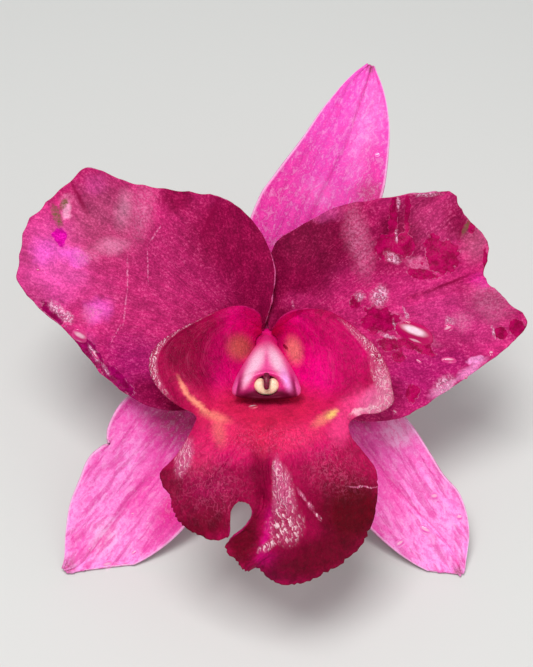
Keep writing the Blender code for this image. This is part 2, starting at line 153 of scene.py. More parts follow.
RIGHT_PETAL = [
    (0, 0.3, 7.5, -1.2), (1, 0.3, 14.2, -0.8), (2, 1.9, 19.8, -0.4), (3, 5.2, 22.7, 0.4),
    (4, 15.2, 27.9, 2), (5, 25.1, 30, 3), (6, 36.5, 31.6, 1.5), (7, 41.8, 31.6, 0), (8, 44.4, 26.6, 0.2),
    (9, 49.4, 20.2, 1.4), (10, 48.9, 12.4, 3), (11, 52, 8.6, 2.6), (12, 58.5, 3.2, 0),
    (13, 54.9, -2.4, -1), (14, 45.4, -9.2, 1), (15, 36.4, -15.4, 3), (16, 28.6, -19, 2),
    (17, 18.7, -19, 0), (18, 8.6, -13.4, -0.8), (19, 3.6, -7.6, -1.4),
]
RIGHT_SWELL = [(0, -0.2), (4, 1.4), (7, 2.2), (10, 0.2), (13, 2.2), (16, 2.6), (19, 0)]


def claw(start, stop, last):
    """Ring of a petal's base round the hub, between two angles in degrees."""
    ring = []
    for share in (0, 0.33, 0.67, 1):
        angle = math.radians(start + (stop - start) * share)
        side = HUB_REACH * math.cos(angle)
        ring.append((last * share, side, HUB_UP + HUB_REACH * math.sin(angle), PETAL_OUT))
    return ring


def petal(base, edge, swell):
    """Surface from the base ring to the edge, lifted half way by the swell."""
    at = [knot[0] for knot in swell]
    points = (curve(base, at) + curve(edge, at)) / 2
    points[:, 2] += [knot[1] for knot in swell]
    return fan([(0, base), (0.5, np.column_stack([at, points])), (1, edge)])


left_petal = petal(claw(100, 212, 17), LEFT_PETAL, LEFT_SWELL)
right_petal = petal(claw(80, -34, 19), RIGHT_PETAL, RIGHT_SWELL)
print("petal knots:", len(LEFT_PETAL), "left,", len(RIGHT_PETAL), "right")

# %% [markdown]
# Each sepal is a long pointed blade, hollowed along its middle. A station gives how far along it is,
# then its left and right edge across the face, then how far out its middle stands.

# %% The three sepals
DORSAL_SEPAL = [
    (0, -2.2, 1.3, 2.6, 0.8, SEPAL_OUT), (0.12, -3.7, 9.2, 7.9, 4.8, -3.5),
    (0.26, -4.9, 20.3, 17.4, 11.4, -4), (0.42, -1.8, 30.8, 22.9, 21.8, -5),
    (0.56, 2, 36.5, 26.3, 31, -5.8), (0.7, 8, 44.5, 27.7, 39, -6.6), (0.84, 14.1, 53.2, 28.1, 49, -7.4),
    (0.94, 19.8, 59.5, 26.6, 56.6, -7.9), (1, 23.2, 61.9, 24.7, 61.3, -8.2),
]
LEFT_SEPAL = [
    (0, -4, -3.3, -1, -6.4, SEPAL_OUT), (0.15, -13.5, -6.5, -3, -15, -3.4),
    (0.3, -23, -10.8, -5.6, -23, -4), (0.42, -32.2, -14.9, -8.6, -30.5, -4.8),
    (0.52, -36.2, -21.6, -12.6, -36.5, -5.5), (0.57, -36.8, -24.8, -15.2, -39.8, -5.8),
    (0.62, -39.9, -27.5, -18, -43.4, -6), (0.72, -42.8, -33.5, -23.2, -48.5, -6.3),
    (0.81, -45, -39.4, -29, -52.2, -6.2), (0.89, -45.9, -46.2, -35, -54.5, -5.8),
    (0.96, -46, -51.2, -40.6, -55.3, -5.2), (1, -46.4, -53.4, -45.2, -54.4, -4.8),
]
RIGHT_SEPAL = [
    (0, 1, -6.4, 4, -3.3, SEPAL_OUT), (0.15, 4.6, -16, 14, -6.8, -3.4),
    (0.3, 8.6, -24.5, 23.5, -11.7, -4), (0.45, 14, -33.5, 32, -19.6, -5),
    (0.6, 20.5, -41.2, 37.4, -27.4, -5.8), (0.7, 26.5, -47.2, 40.3, -32.1, -5.8),
    (0.8, 32.5, -51.8, 44.2, -36.9, -5.4), (0.9, 38.6, -54.8, 46.1, -44.7, -4.9),
    (1, 43.6, -56, 44.9, -54, -4.6),
]
SEPAL_CHANNEL = 1.6
SEPALS = {
    "dorsal_sepal": DORSAL_SEPAL,
    "lateral_sepal_left": LEFT_SEPAL,
    "lateral_sepal_right": RIGHT_SEPAL,
}
print("sepals:", ", ".join(SEPALS))

# %% [markdown]
# The lip is one petal too, rolled into a tube round the column. It opens into two upright side
# lobes and one broad frilled lobe below, with a deep notch left of its middle. Six rings describe
# it, from its foot under the column out to the edge, and every ring runs from the top left round
# the bottom to the top right.

# %% The lip
LIP_FOOT = [
    (0, -1.2, 0.35, LIP_OUT), (3, -2.3, -0.6, LIP_OUT), (7, -2.8, -2.2, LIP_OUT), (14, -2.2, -4, LIP_OUT),
    (29, 0, -4.9, LIP_OUT), (45, 2.2, -4, LIP_OUT), (50, 2.8, -2.2, LIP_OUT), (54, 2.3, -0.6, LIP_OUT),
    (57, 1.2, 0.35, LIP_OUT),
]
LIP_TUBE = [
    (0, -1.1, 0.9, 0.6), (3, -4.2, 0.6, 2.2), (7, -5.6, -2.4, 3.4), (12, -5.4, -5.6, 4.6),
    (16, -4, -7.6, 6), (23, -2, -8.9, 7.4), (29, 0, -9.3, 8), (36, 2.2, -8.9, 7.4), (42, 4.2, -7.6, 6),
    (46, 5.6, -5.6, 4.6), (50, 5.8, -2.4, 3.4), (54, 4.4, 0.6, 2.2), (57, 1.2, 0.7, 0.6),
]
LIP_MOUTH = [
    (0, -1.1, 1.3, 1.4), (3, -5.2, 2.8, 5.2), (7, -9.5, -2.2, 8.4), (12, -9, -9, 11.5),
    (16, -7.5, -13, 15), (23, -4, -14.8, 17.6), (29, 0, -15.4, 18.6), (36, 4, -14.8, 17.6),
    (42, 7.8, -13.2, 15), (46, 9.6, -9.6, 11.5), (50, 10, -2.4, 8.6), (54, 5.6, 2.6, 5.2),
    (57, 1.25, 0.9, 1.4),
]
LIP_THROAT = [
    (0, -1.1, 1.5, 2), (3, -5.7, 3.8, 6.6), (7, -13, -1.9, 11.2), (9, -13.6, -5.8, 12.6),
    (12, -11.8, -11, 14.6), (14, -11, -15.2, 18.5), (16, -11, -18.6, 22.4), (19, -8.6, -20.8, 26),
    (23, -5, -22.2, 28.4), (29, -0.4, -23.4, 28.4), (35, 4.6, -22.4, 28.5), (38, 8.6, -20.8, 26),
    (42, 11.6, -18.4, 22.4), (45, 12, -14.8, 18), (47, 13.6, -11.8, 14.8), (50, 14.2, -4.4, 12),
    (52, 12, -0.6, 10.2), (54, 7.2, 3.6, 6.8), (57, 1.3, 1, 2),
]
LIP_BLADE = [
    (0, -1.05, 1.7, 2.5), (3, -6.2, 4.6, 7.6), (7, -16.5, -1.6, 12.8), (9, -17.5, -6.8, 14.6),
    (12, -14, -12.6, 17), (14, -13, -17, 21.5), (16, -14.8, -22.8, 26), (19, -12.6, -28, 28.6),
    (22, -9.5, -30.2, 29.6), (24, -6.4, -30.2, 29.8), (25.5, -3.8, -30, 29.8), (27, -1.2, -33, 29.3),
    (29, 0, -37.5, 28.5), (31, 0.8, -40.5, 28.4), (33, 2.2, -42.3, 28.4), (35, 5, -42.6, 28.4),
    (38, 11, -38.5, 28), (41, 16, -30.5, 26.8), (43, 15, -23.5, 25.6), (45, 14.6, -17.6, 21),
    (47, 18.6, -13.4, 17), (50, 18.6, -5.4, 14), (52, 15.4, -0.4, 12), (54, 9, 4.2, 8.4),
    (57, 1.35, 1.1, 2.5),
]
LIP_EDGE = [
    (0, -1, 1.9, 3), (1, -1.4, 4.2, 6), (2, -3.8, 5.7, 8), (3, -6.8, 6, 9), (4, -11.1, 4.6, 10),
    (5, -15.4, 2.5, 11), (6, -19.6, 0.3, 12.5), (7, -22.7, -1.8, 14), (8, -24.8, -4.6, 15),
    (9, -24.9, -8.2, 16), (10, -23.5, -10.9, 17), (11, -21.3, -13.4, 18), (12, -18.1, -15.6, 19),
    (13, -15.2, -16.8, 20.5), (14, -14.7, -18.2, 22.5), (15, -17.2, -23, 25.2), (16, -19.9, -26.6, 25.5),
    (16.7, -21.9, -28.8, 25.5), (17.3, -21.3, -31.2, 25.8), (18, -19.7, -33.1, 26.5),
    (19, -19.3, -35.9, 27), (20, -17.8, -38.6, 27), (21, -14.9, -40.7, 27), (22, -11, -42, 28),
    (23, -7.7, -41.2, 28.5), (24, -7.5, -36.4, 29), (25, -5.8, -34.2, 29.5), (26, -3.7, -34.4, 29.5),
    (27, -2.9, -36.6, 29), (28, -4.7, -39.4, 28.5), (29, -7.3, -41.6, 27.7), (30, -8.6, -44.1, 27),
    (31, -6.2, -46.6, 26.5), (32, -4.4, -48.6, 26), (33, -2.2, -48, 26), (34, 0.7, -50.4, 25.5),
    (35, 3.8, -51.6, 25), (36, 8, -51, 25), (37, 13, -48.7, 25), (38, 17.4, -46.2, 24),
    (39, 20.8, -42, 23), (40, 22.4, -37, 23), (41, 23, -32, 23), (42, 22.5, -28, 23), (43, 20, -24.6, 23),
    (44, 17.6, -21.5, 22), (45, 17.2, -18.8, 20.5), (46, 19.8, -17.2, 18), (47, 24, -16.9, 15.5),
    (48, 27.2, -14.8, 14.5), (49, 26.8, -11.5, 15), (50, 26, -7.6, 15.5), (51, 23.8, -3.5, 15),
    (52, 20.6, -0.2, 13.5), (53, 16.2, 3.4, 11), (54, 11.6, 5.3, 9.5), (55, 6.6, 5.2, 8.5),
    (56, 3.2, 3.6, 6.5), (57, 1.4, 1.2, 3),
]
LIP_LAST = LIP_EDGE[-1][0]
lip_rings = [LIP_FOOT, LIP_TUBE, LIP_MOUTH, LIP_THROAT, LIP_BLADE, LIP_EDGE]
lip = fan(list(zip((0, 0.16, 0.32, 0.48, 0.76, 1), lip_rings)))
print("lip rings:", len(lip_rings), "with", len(LIP_EDGE), "knots on the edge")

# %% [markdown]
# Living blades aren't smooth. Their edges ruffle, veins stand up from the base to the edge, a few
# long furrows cross them, and skin wrinkles between. Each of these is a height that is added to the
# surface, so the form holds from any side, and not only where the light flatters it.

# %% Heights that are added to a surface


def waves(height, count, phase, power=4):
    """Ruffle that grows towards the outer edge."""

    def ruffle(across, along):
        swing = np.sin(2 * math.pi * count * across + phase)
        swing = swing + 0.5 * np.sin(2 * math.pi * 1.7 * count * across + 2.1 * phase)
        fade = np.clip(np.minimum(across, 1 - across) * 8, 0, 1)
        return height * swing * fade * along**power

    return ruffle


def furrow(points, start, end, width, depth):
    """Soft furrow along a line on the face. A negative depth makes a ridge."""
    start, line = np.array(start, float), np.subtract(end, start)
    reach = points[:, :, :2] - start
    share = np.clip(reach @ line / (line @ line), 0, 1)
    away = np.linalg.norm(reach - share[:, :, None] * line, axis=2)
    return -depth * np.exp(-((away / width) ** 2))


def grain(x, y, seed):
    """Smooth noise from -1 to 1 over two arrays, with lumps about one unit across."""
    flat = [noise.noise((a, b, seed)) for a, b in zip(x.ravel(), y.ravel())]
    return np.array(flat).reshape(x.shape)


def ridges(x, y, seed):
    """Noise folded into sharp crests, from 0 in the valleys to 1 on the crests."""
    return 1 - np.abs(grain(x, y, seed)) * 2


def notched(points, share):
    """Draws each line of points back from the edge by its own small share."""
    rows = points.shape[1]
    place = np.arange(rows)[None, :] * (1 - share[:, None])
    low = np.floor(place).astype(int).clip(0, rows - 2)
    part = (place - low)[:, :, None]
    line = np.arange(len(points))[:, None]
    return points[line, low] * (1 - part) + points[line, low + 1] * part


# %% [markdown]
# Every blade is made the same way. Blender lays a flat grid, each of its points moves to its place
# on the surface, and Solidify gives the sheet its thickness, which thins towards the edge. Solidify
# also gives the back and the rim materials of their own, since a petal's back is duller than its
# face and its cut edge is pale.

# %% A blade with two sides and a rim
made_blades = {}
EDGE_SHARE = 0.6  # of a blade's thickness, left at its edge


def new_piece(bm, name, looks):
    """Puts a finished bmesh into the scene as a smooth piece with its materials."""
    mesh = bpy.data.meshes.new(name)
    bm.to_mesh(mesh)
    bm.free()
    mesh.shade_smooth()
    for look in looks:
        mesh.materials.append(look)
    piece = bpy.data.objects.new(name, mesh)
    scene.collection.objects.link(piece)
    print(name, len(mesh.polygons), "faces")
    return piece


def slopes(points):
    """Directions in which a grid of points faces, towards the eye."""
    facing = np.cross(np.gradient(points, axis=0), np.gradient(points, axis=1))
    facing = facing / np.maximum(np.linalg.norm(facing, axis=2, keepdims=True), 1e-9)
    return facing if facing[:, :, 2].mean() > 0 else -facing


def blade(name, points, thick, looks):
    """Thin blade from its grid of places on the face, in millimetres."""
    columns, rows = points.shape[0] - 1, points.shape[1] - 1
    bm = bmesh.new()
    bm.loops.layers.uv.new("blade")
    bmesh.ops.create_grid(bm, x_segments=columns, y_segments=rows, size=0.5, calc_uvs=True)
    world = to_world(points)
    weight = bm.verts.layers.deform.verify()
    for vert in bm.verts:
        i = round((vert.co.x + 0.5) * columns)
        j = round((vert.co.y + 0.5) * rows)
        vert.co = world[i, j]
        vert[weight][0] = 1 - (j / rows) ** 2
    bm.normal_update()
    outward = TURN @ Vector((0, 0, 1))
    if sum(face.normal.dot(outward) * face.calc_area() for face in bm.faces) < 0:
        bmesh.ops.reverse_faces(bm, faces=bm.faces)
    piece = new_piece(bm, name + "_blade", looks)
    piece.vertex_groups.new(name="thick")
    solid = piece.modifiers.new("thickness", "SOLIDIFY")
    solid.thickness = thick * MM
    solid.offset = 0
    solid.vertex_group = "thick"
    solid.thickness_vertex_group = EDGE_SHARE
    solid.material_offset = 1
    solid.material_offset_rim = 2
    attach(piece, "root")
    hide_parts(name)
    made_blades[name] = points


# %% [markdown]
# Node trees are written as sums. A small class wraps one output of a node, and the usual operators
# on it add Math nodes, so a mask reads like a formula.

# %% Node maths as Python


class Field:
    """One output of a shader node. The operators on it add Math nodes."""

    def __init__(self, tree, socket):
        self.tree = tree
        self.socket = socket

    def node(self, kind, settings, values, out=0):
        """Any other node: its type, its settings, then the values or links of its sockets."""
        made = self.tree.nodes.new(kind)
        for name, value in settings.items():
            setattr(made, name, value)
        for name, value in values.items():
            if isinstance(value, Field):
                self.tree.links.new(value.socket, made.inputs[name])
            else:
                made.inputs[name].default_value = value
        return Field(self.tree, made.outputs[out])

    def sum_of(self, operation, *values):
        return self.node("ShaderNodeMath", {"operation": operation}, dict(enumerate(values)))

    def __add__(self, other):
        return self.sum_of("ADD", self, other)

    __radd__ = __add__

    def __sub__(self, other):
        return self.sum_of("SUBTRACT", self, other)

    def __rsub__(self, other):
        return self.sum_of("SUBTRACT", other, self)

    def __mul__(self, other):
        return self.sum_of("MULTIPLY", self, other)

    __rmul__ = __mul__


print("sums of nodes ready")

# %% [markdown]
# A mask says where a tone lies, from 0 to 1. Colours and places have nodes of their own, because a
# Math node would turn a colour grey. Tones are given as a picture editor shows them, and made linear.

# %% Masks and colours


def soft(field, low, high):
    """0 at low and 1 at high with a smooth step between. Low may be the larger one."""
    values = {"Value": field, "From Min": low, "From Max": high}
    return field.node("ShaderNodeMapRange", {"interpolation_type": "SMOOTHSTEP"}, values)


def paint(mask, under, over):
    """The under colour where the mask is 0, and the over colour where it is 1."""
    maker = next(value for value in (mask, under, over) if isinstance(value, Field))
    return maker.node("ShaderNodeMix", {"data_type": "RGBA"}, {0: mask, 6: under, 7: over}, out=2)


def layered(colour, *layers):
    """Tones laid over a colour one after another, each where its own mask is 1."""
    for mask, tone in layers:
        colour = paint(mask, colour, tone)
    return colour


def larger(a, b):
    return a.sum_of("MAXIMUM", a, b)


def vector(operation, a, b):
    return a.node("ShaderNodeVectorMath", {"operation": operation}, {0: a, 1: b})


def part(place, axis):
    """One of a place's numbers."""
    return place.node("ShaderNodeSeparateXYZ", {}, {"Vector": place}, out=axis)


def tint(red, green, blue):
    """Colour from the three numbers of a picture editor, 0 to 255."""
    linear = []
    for value in (red, green, blue):
        share = value / 255
        linear.append(share / 12.92 if share <= 0.04045 else ((share + 0.055) / 1.055) ** 2.4)
    return (*linear, 1)


print("a middle grey as light:", round(tint(128, 128, 128)[0], 3))

# %% [markdown]
# Patterns start as noise. A place that is stretched or made to wander before the noise is read turns
# its round lumps into streaks, creases and torn edges, with no picture at all. Where a stain or a
# puddle has to lie in one spot, an oval holds it there.

# %% Patterns


def blotches(place, size, detail=3, rough=0.6, out=0):
    """Random cloudy pattern round one half, with lumps about size across."""
    values = {"Vector": place, "Scale": 1 / size, "Detail": detail, "Roughness": rough}
    return place.node("ShaderNodeTexNoise", {}, values, out)


def mapped(place, middle, angle, size):
    """Place measured from another middle, along turned axes, in steps of another size."""
    values = {"Vector": place, "Location": middle, "Rotation": angle, "Scale": size}
    return place.node("ShaderNodeMapping", {"vector_type": "TEXTURE"}, values)


def stretched(place, wide, long, turn):
    """Place squeezed so that a pattern's lumps of size one become strokes this wide and long."""
    return mapped(place, (0, 0, 0), (0, 0, math.radians(turn)), (wide, long, 1))


def times(place, across, along):
    """Place with its first two numbers multiplied, so a pattern of size one repeats that often."""
    return vector("MULTIPLY", place, (across, along, 0))


def ragged(place, size, reach):
    """Place with its lines made to wander, so that a spot gets a torn edge."""
    wander = vector("SUBTRACT", blotches(place, size, out=1), (0.5, 0.5, 0.5))
    return vector("ADD", place, times(wander, reach, reach))


def contours(place, size, wide):
    """Thin wandering lines, as in a creased film: 1 on a line and 0 between the lines."""
    level = blotches(place, size, 2, 0.5)
    return soft(level.sum_of("ABSOLUTE", level - 0.5), wide, 0)


def creased(place, wide, long, turn):
    """Slope of crumpled skin as light from the upper left shows it: 1 lit, 0 turned away."""
    lumps = stretched(ragged(place, 4, 5), wide, long, turn)
    height = blotches(lumps, 1, 2, 0.55)
    beyond = blotches(vector("ADD", lumps, (0.35, -0.12, 0)), 1, 2, 0.55)
    return 0.5 + 2.6 * (height - beyond)


def facets(place, wide, long, turn):
    """Crumpled foil: flat facets with sharp bounds, each lit by its own slope, 0 to 1."""
    lumps = stretched(ragged(place, 1.6, 1.4), wide, long, turn)
    cells = {"Vector": lumps, "Scale": 1}
    centre = lumps.node("ShaderNodeTexVoronoi", {}, cells, out=2)
    own = part(lumps.node("ShaderNodeTexVoronoi", {}, cells, out=1), 0)
    away = vector("SUBTRACT", lumps, centre)
    return 0.2 + 0.6 * own + 0.55 * part(away, 1) - 0.35 * part(away, 0)


FAR_DEEP = 1000  # an oval spot reaches this far in and out, so only its outline on the face counts


def oval(place, right, up, wide, high, turn=0, edge=0.5):
    """1 in an oval spot on the face and 0 outside it, with an edge of that share of its size."""
    inside = mapped(place, (right, up, 0), (0, 0, math.radians(turn)), (wide, high, FAR_DEEP))
    away = place.node("ShaderNodeVectorMath", {"operation": "LENGTH"}, {0: inside}, out=1)
    return soft(away, 1 + edge, 1 - edge)


def ovals(place, spots):
    """One mask of several oval spots."""
    mask = oval(place, *spots[0])
    for spot in spots[1:]:
        mask = larger(mask, oval(place, *spot))
    return mask


print("patterns ready")

# %% [markdown]
# Every material starts with the same three things: one Principled shader, the place on the face in
# millimetres, and the blade's own map from its base to its edge. Water and foil are glossier than the
# skin below them, so a second shader can lie over the first one as a film.

# %% One material
WET_ROUGH = 0.2  # of the glossy film


def bump(height, deep):
    """Relief whose height of 1 is that many millimetres."""
    values = {"Height": height, "Distance": deep * MM, "Strength": 1}
    return height.node("ShaderNodeBump", {}, values)


class Skin:
    """A material with one Principled shader, the face's places and the blade's own map."""

    def __init__(self, name, mirror, **constants):
        self.material = bpy.data.materials.new(name)
        self.material.use_nodes = True
        tree = self.material.node_tree
        self.shader = tree.nodes["Principled BSDF"]
        for socket, value in {"Specular IOR Level": mirror, **constants}.items():
            self.shader.inputs[socket.replace("_", " ")].default_value = value
        start = Field(tree, None)
        room = start.node("ShaderNodeTexCoord", {}, {}, out=3)
        self.place = mapped(room, MIDDLE, (LEAN_BACK, 0, 0), (MM, MM, MM))
        self.uv = start.node("ShaderNodeUVMap", {"uv_map": "blade"}, {})
        self.along = part(self.uv, 1)

    def set(self, socket, field):
        field.tree.links.new(field.socket, self.shader.inputs[socket])

    def done(self, colour, rough, height=None, deep=0.1):
        """Lays the colour and the finish on the shader, and gives back the material."""
        self.set("Base Color", colour)
        self.set("Roughness", rough)
        if height:
            self.set("Normal", bump(height, deep))
        return self.material

    def film(self, mask, colour, height, deep, mirror):
        """Glossy skin, with its own wrinkles, where the mask is 1."""
        tree = self.material.node_tree
        values = {"Base Color": colour, "Roughness": WET_ROUGH, "Specular IOR Level": mirror}
        values["Normal"] = bump(height, deep)
        gloss = mask.node("ShaderNodeBsdfPrincipled", {}, values)
        matt = Field(tree, self.shader.outputs[0])
        both = mask.node("ShaderNodeMixShader", {}, {0: mask, 1: matt, 2: gloss})
        tree.links.new(both.socket, tree.nodes["Material Output"].inputs["Surface"])


print("glossy film:", WET_ROUGH, "rough")

# %% [markdown]
# A cattleya petal is velvety: each cell of its skin is a tiny lens, so deep crimson sparkles with
# paler points, and these are painted highlights. Its tone isn't even either. It is deepest round the
# column and pinker towards the edges, and a painted sheen stands where it mirrors the sky, so soft
# patches of a few tones are laid over one another and torn at their edges. Where water lies on it,
# the velvet is drowned, dark and glossy.

# %% Velvet for the petals
ROSE = tint(190, 30, 104)
DEEP = tint(130, 3, 58)
MAROON = tint(114, 6, 50)
MAUVE = tint(166, 44, 98)
PINK = tint(238, 88, 176)
# Pale tone of the painted sheen, of the painted sparkle in the velvet and of the painted glints at the
# edges of water; the scratches are this pale too.
SCRATCH_AND_SHEEN_PALE = tint(228, 128, 172)
VIOLET_SHEEN = tint(244, 92, 206)
PLUM = tint(160, 16, 98)
# Pale lilac of painted sheen near the right petal's lower edge.
LILAC_SHEEN = tint(232, 136, 196)
DUSTY = tint(174, 84, 118)
SCAR = tint(116, 84, 60)
FOAM = tint(246, 176, 210)
WET_MAGENTA = tint(206, 4, 150)
HOT_MAGENTA = tint(238, 20, 160)
USUAL = (0, 0.7)  # the turn and the soft edge of a patch that gives neither


def tones(colour, place, patches):
    """Lays soft patches over a colour: each has a tone, its strength and its oval."""
    for tone, strength, *spot in patches:
        spot += USUAL[len(spot) - 4:]
        colour = paint(strength * oval(place, *spot), colour, tone)
    return colour


def shaded(colour, factor):
    """The colour made darker or lighter by a factor, which may change over the surface."""
    if not isinstance(factor, Field):
        factor = (factor, factor, factor)
    return vector("MULTIPLY", colour, factor)


def velvet(skin, colour, pale, deep):
    """Gives a colour the fine grain of a petal's skin, drawn out a little along its veins, and painted
    sparkle.
    """
    cells = blotches(skin.place, 0.45, 3, 0.75)
    fibre_map = times(ragged(skin.uv, 0.05, 0.012), 230, 34)
    fibres = blotches(fibre_map, 1, 3, 0.65)
    broad = blotches(skin.place, 2.6)
    grain_field = 0.62 * cells + 0.38 * fibres
    colour = shaded(colour, (1 - deep / 2) + deep * soft(grain_field, 0.38, 0.62))
    colour = shaded(colour, 0.87 + 0.26 * soft(broad, 0.35, 0.65))
    # Pale points of painted sparkle, where the grain stands highest.
    light = soft(grain_field, 0.5, 0.64) * (0.2 + 0.8 * soft(broad, 0.38, 0.62))
    bloom = soft(part(colour, 1), 0.001, 0.012)
    pale = paint(0.2 + 0.8 * bloom, shaded(colour, 1.7), pale)
    return paint(0.34 * light, colour, pale), grain_field


print("velvet ready, with a usual soft edge of", USUAL[1])

# %% [markdown]
# A petal's face is built up like a painting. Its base tone comes first, then the torn patches, the
# veins and the velvet with its painted sparkle. Painted sheen comes next, then water with painted
# glints at its edges, foam, scratches, creases darkened by painted shade, and scars, in the order in
# which they came to lie on the real petal.

# %% The face of a petal


def petal_face(name, waters, patches, sheen_spots, wet_spots, foam_spots, scar_spots, scratches, shaded_creases):
    skin = Skin(name, 0.03)
    torn = ragged(skin.place, 3, 3.5)
    colour = tones(paint(soft(skin.along, 0, 0.3), DEEP, ROSE), torn, patches)
    fan_lines = times(ragged(skin.uv, 0.1, 0.02), 95, 3)
    veins = soft(blotches(fan_lines, 1, 2), 0.35, 0.65)
    colour = shaded(colour, 1.08 - 0.2 * veins)
    colour, cells = velvet(skin, colour, SCRATCH_AND_SHEEN_PALE, 0.5)
    broken = soft(blotches(skin.place, 0.55, 3, 0.7), 0.42, 0.62)
    spread = blotches(skin.place, 1.8, 5, 0.62)
    level = spread + 0.5 * ovals(ragged(skin.place, 3, 2), wet_spots)
    wet = soft(level, 0.76, 0.78)
    edge = soft(level, 0.74, 0.77) * soft(level, 0.82, 0.79)
    foam = ovals(ragged(skin.place, 1.2, 1.4), foam_spots)
    curls = contours(ragged(skin.place, 1, 1.6), 1, 0.07)
    # The foam's pale crinkles are partly painted highlights, where the facets turn to the light.
    crinkle = larger(curls, soft(facets(skin.place, 0.5, 0.8, 60), 0.6, 0.85))
    scar = ovals(ragged(skin.place, 0.8, 1.4), scar_spots)
    colour = layered(
        colour,
        # Painted sheen where the petal mirrors the sky.
        (ovals(torn, sheen_spots) * (0.16 + 0.4 * broken), SCRATCH_AND_SHEEN_PALE),
        (wet * 0.95, paint(soft(spread, 0.38, 0.62), *waters)),
        # Painted glints along the edges of the water.
        (0.4 * edge * soft(blotches(skin.place, 1.1, 2, 0.5), 0.46, 0.58), SCRATCH_AND_SHEEN_PALE),
        (foam * (0.15 + 0.85 * crinkle), FOAM),
        (ovals(ragged(skin.place, 1.2, 0.5), scratches) * broken * 0.8, SCRATCH_AND_SHEEN_PALE),
        # Painted shade in the creases.
        (0.8 * ovals(ragged(skin.place, 1.6, 0.6), shaded_creases), DEEP),
        (scar * (0.5 + 0.5 * broken), SCAR),
    )
    skin.film(larger(wet, foam), colour, spread + 0.5 * foam * crinkle, 0.4, 0.04)
    return skin.done(colour, 0.55 + 0.1 * cells, cells + scar * cells, 0.12)


print("petal face ready")

# %% [markdown]
# The left petal is dark round the column and at its lower side, where painted shade also stands for
# the lip's shadow, and dusty pink towards its tip, with violet patches of painted sheen. Five long
# scratches cross it, and water lies in a line along its lower edge.

# %% The left petal's face
left_face = petal_face(
    "left_petal_velvet",
    waters=(tint(116, 0, 58), tint(158, 0, 92)),
    patches=[
        # The deep patches next to the lip's edge, at (-18.5, -14.5) and (-26, -13), are painted shadow of
        # the lip, the strong mauve patch at the upper left partly paints the shade of the fold there, and
        # the violet ones are painted sheen.
        (DEEP, 0.95, -6, 22, 13, 11, 0, 0.5), (DEEP, 0.95, -1, 8, 8, 15, 0, 0.6),
        (MAUVE, 0.85, -38, 29, 8, 6, 30, 0.6), (PINK, 0.75, -49, 16, 7, 9, 0, 0.8),
        (PINK, 0.2, -41, 8, 7, 7), (MAUVE, 0.5, -52, 9, 3, 3.6), (MAUVE, 0.6, -54, 17.6, 2, 4),
        (PINK, 0.5, -43, 12.8, 2.4, 2, 0, 0.8), (DUSTY, 0.4, -36, 24, 8, 7),
        (FOAM, 0.4, -31.8, 27.6, 1.6, 3.2, -10, 0.9), (FOAM, 0.3, -34.8, 19.6, 3, 1.6, 10, 0.9),
        (PINK, 0.4, -40.6, -2.6, 2.4, 2.6), (DEEP, 0.5, -20.5, 31, 4, 2.6), (DEEP, 0.4, -16, 4, 4, 3.4),
        (ROSE, 0.6, -43, 4.4, 3, 2.6), (PINK, 0.3, -38.4, 33.4, 2.4, 2),
        (PLUM, 0.8, -27, -8, 10, 6, -35, 0.6), (MAUVE, 0.35, -30, 14, 13, 14, 0, 0.6),
        (VIOLET_SHEEN, 0.75, -43.6, 17.4, 3.2, 1.8, -25, 0.6),
        (VIOLET_SHEEN, 0.55, -49.8, 18.4, 2.8, 2.6, 0, 0.6),
        (VIOLET_SHEEN, 0.6, -37.8, 5.2, 2.8, 2.4, 30, 0.6), (DEEP, 0.9, -18.5, -14.5, 5.4, 5, 0, 0.4),
        (DEEP, 0.85, -19.6, 30, 3.4, 3.4, 0, 0.6), (DEEP, 0.8, -26, -13, 4.4, 3.4, -30, 0.6),
        (WET_MAGENTA, 1, -46.3, 21.6, 1.3, 2, 15, 0.15), (FOAM, 0.6, -45, 27.6, 1, 1.8, -20, 0.5),
    ],
    sheen_spots=[
        (-27.6, 27, 2.2, 5.6, -12, 0.8), (-34.5, 19.5, 3.4, 1.8, 0, 0.7), (-40.5, 17.2, 2.4, 1.6, 0, 0.7),
        (-39, 4.4, 2.4, 1.6, 20, 0.7), (-45, 29.8, 1.6, 1.6, 0, 0.6),
    ],
    wet_spots=[
        (-48, 4, 4.6, 1.6, -45, 0.6), (-39.6, -4, 5.6, 1.9, -52, 0.6), (-33.4, -10.4, 5.4, 1.8, -45, 0.6),
    ],
    foam_spots=[
        (-47, 5.6, 2.2, 1, -40), (-44.6, 3.6, 1.6, 1, -40), (-38.6, -4.4, 0.5, 2, 30),
        (-35.8, -8, 0.35, 1.6, 34),
    ],
    scar_spots=[(-47, 26.4, 0.9, 2.6, 20, 0.4), (-45.6, 29, 0.7, 1.4, -30, 0.4)],
    scratches=[
        (-31.1, 13.4, 0.18, 4, 0, 0.4), (-31.6, 5.6, 0.18, 3.8, -6, 0.4),
        (-33.4, 0.2, 0.16, 2.6, -28, 0.4), (-24.6, 22.2, 0.18, 2.4, -36, 0.4),
        (-26.5, 15.2, 0.15, 4, 0, 0.4),
    ],
    shaded_creases=[(-42.4, 31, 0.5, 4, 28, 0.9), (-12.4, 26, 0.4, 4, -24, 0.9)],
)
print("left petal:", left_face.name)
